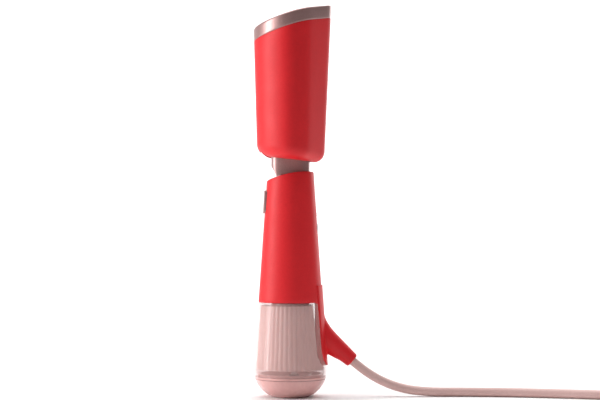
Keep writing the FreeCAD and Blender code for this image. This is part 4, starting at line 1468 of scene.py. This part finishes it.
def join(pieces: list[Piece]) -> None:
    """Joins several meshes into the first.

    Args:
        pieces: the meshes' objects.
    """
    work = bmesh.new()
    for piece in pieces:
        work.from_mesh(piece.data)
    work.to_mesh(pieces[0].data)
    work.free()
    for piece in pieces[1:]:
        bpy.data.objects.remove(piece)


def dress_node(node: str, finish: Finish) -> None:
    """Gives a CAD node, whose shape stays as it is, a finish.

    Args:
        node: the node's name.
        finish: its finish.
    """
    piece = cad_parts[node]
    finish.dress(piece)
    log.info("%s keeps its CAD shape", node)


INNER_FINISHES = {
    BRIGHT_STEEL: ("handle_screws", "chamber_screws", "pivot_pins", "trigger_spring",
                   "power_spring", "heating_element", "heat_shield"),
    GREY_PLASTIC: ("chassis", "handle_base", "trigger_switch", "power_switch", "pump_body",
                   "suction_filter", "friction_washers"),
    SEAL_RUBBER: ("base_gasket", "plate_gasket"),
    SILICONE: ("suction_tube", "riser_hose", "head_hose"),
    BRASS: ("inlet_fitting", "thermostat", "thermal_fuse", "pump_coil"),
    CAST_METAL: ("steam_chamber", "chamber_cover"),
    BOARD_GREEN: ("control_board",),
}


@dataclass
class Studio:
    """A pale sweep, soft lights and the camera.

    Args:
        distance: how far the camera stands in front of the steamer.
        aside: the camera's place along X.
        height: the camera's height.
        lens: its focal length in millimetres.
        shift: its upward shift, in frame widths.
    """

    distance: float = 1.30
    aside: float = 0.0085
    height: float = 0.140
    lens: float = 87.0
    shift: float = 0.067

    def camera(self) -> None:
        """Puts the camera level in front of the steamer."""
        data = bpy.data.cameras.new("view")
        data.lens = self.lens
        data.shift_y = self.shift
        data.clip_start = 0.05
        camera = bpy.data.objects.new("view", data)
        camera.location = (self.aside, -self.distance, self.height)
        camera.rotation_euler = (math.radians(90.0), 0.0, 0.0)
        bpy.context.scene.collection.objects.link(camera)
        bpy.context.scene.camera = camera

    def sweep(self) -> None:
        """The pale floor that curves up into a backdrop."""
        radius, wall = 1.6, 4.0
        profile = [(-5.0, 0.0), (1.4, 0.0)]
        profile += [(y, z + radius) for y, z in arc_points((1.4, 0.0), radius, -85.0, 0.0, 24)]
        profile.append((1.4 + radius, wall))
        work = bmesh.new()
        rows = [[work.verts.new((x, y, z)) for x in (-6.0, 6.0)] for y, z in profile]
        for low, high in zip(rows, rows[1:]):
            work.faces.new((low[0], low[1], high[1], high[0]))
        mesh = bpy.data.meshes.new("sweep")
        work.to_mesh(mesh)
        work.free()
        sweep = link("sweep", mesh)
        for face in mesh.polygons:
            face.use_smooth = True
        STUDIO_WHITE.dress(sweep)

    def light(self, name: str, place: Place, target: Place, size: tuple[float, float],
              power: float) -> None:
        """Adds a soft rectangular light.

        Args:
            name: the light's name.
            place: where it hangs.
            target: what it points at.
            size: its width and height.
            power: its power in watts.
        """
        data = bpy.data.lights.new(name, "AREA")
        data.shape = "RECTANGLE"
        data.size, data.size_y = size
        data.energy = power
        lamp = bpy.data.objects.new(name, data)
        lamp.location = place
        lamp.rotation_euler = (Vector(target) - Vector(place)).to_track_quat("-Z", "Y").to_euler()
        bpy.context.scene.collection.objects.link(lamp)

    def build(self) -> None:
        """Sets up the sweep, the lights and the pale surroundings."""
        self.sweep()
        middle = (0.0, 0.0, 0.18)
        self.light("key", (-1.40, -0.20, 0.45), middle, (0.5, 1.1), 19.0)
        self.light("rim", (0.9, 1.1, 0.6), middle, (0.25, 1.1), 4.0)
        self.light("overhead", (0.0, 0.3, 2.2), (0.0, 0.2, 0.0), (2.6, 2.0), 44.0)
        self.light("backdrop", (0.0, 1.4, 2.4), (0.0, 3.0, 0.8), (3.0, 1.0), 60.0)
        world = bpy.data.worlds.new("pale_room")
        world.use_nodes = True
        sky = world.node_tree.nodes["Background"]
        sky.inputs["Color"].default_value = (0.96, 0.97, 1.0, 1.0)
        sky.inputs["Strength"].default_value = 0.16
        bpy.context.scene.world = world
        bpy.context.scene.view_settings.view_transform = "Standard"


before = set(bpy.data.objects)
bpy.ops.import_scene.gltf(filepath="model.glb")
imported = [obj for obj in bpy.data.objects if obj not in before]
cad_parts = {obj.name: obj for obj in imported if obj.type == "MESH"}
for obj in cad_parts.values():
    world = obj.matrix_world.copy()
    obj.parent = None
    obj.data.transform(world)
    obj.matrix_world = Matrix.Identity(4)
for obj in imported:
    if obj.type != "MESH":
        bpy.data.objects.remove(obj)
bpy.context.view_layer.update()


def main() -> None:
    """Builds the camera, the cord, the studio and the steamer's parts in order, and dresses the inner
    parts.
    """
    studio = Studio()
    studio.camera()
    MainsCord().build()
    studio.build()
    for part in (Tank(), Grip(), Spine(), Neck(), Head(), Controls()):
        part.build()
        log.info("%s is done", type(part).__name__)
    for finish, nodes in INNER_FINISHES.items():
        for node in nodes:
            dress_node(node, finish)


if __name__ == "__main__":
    main()
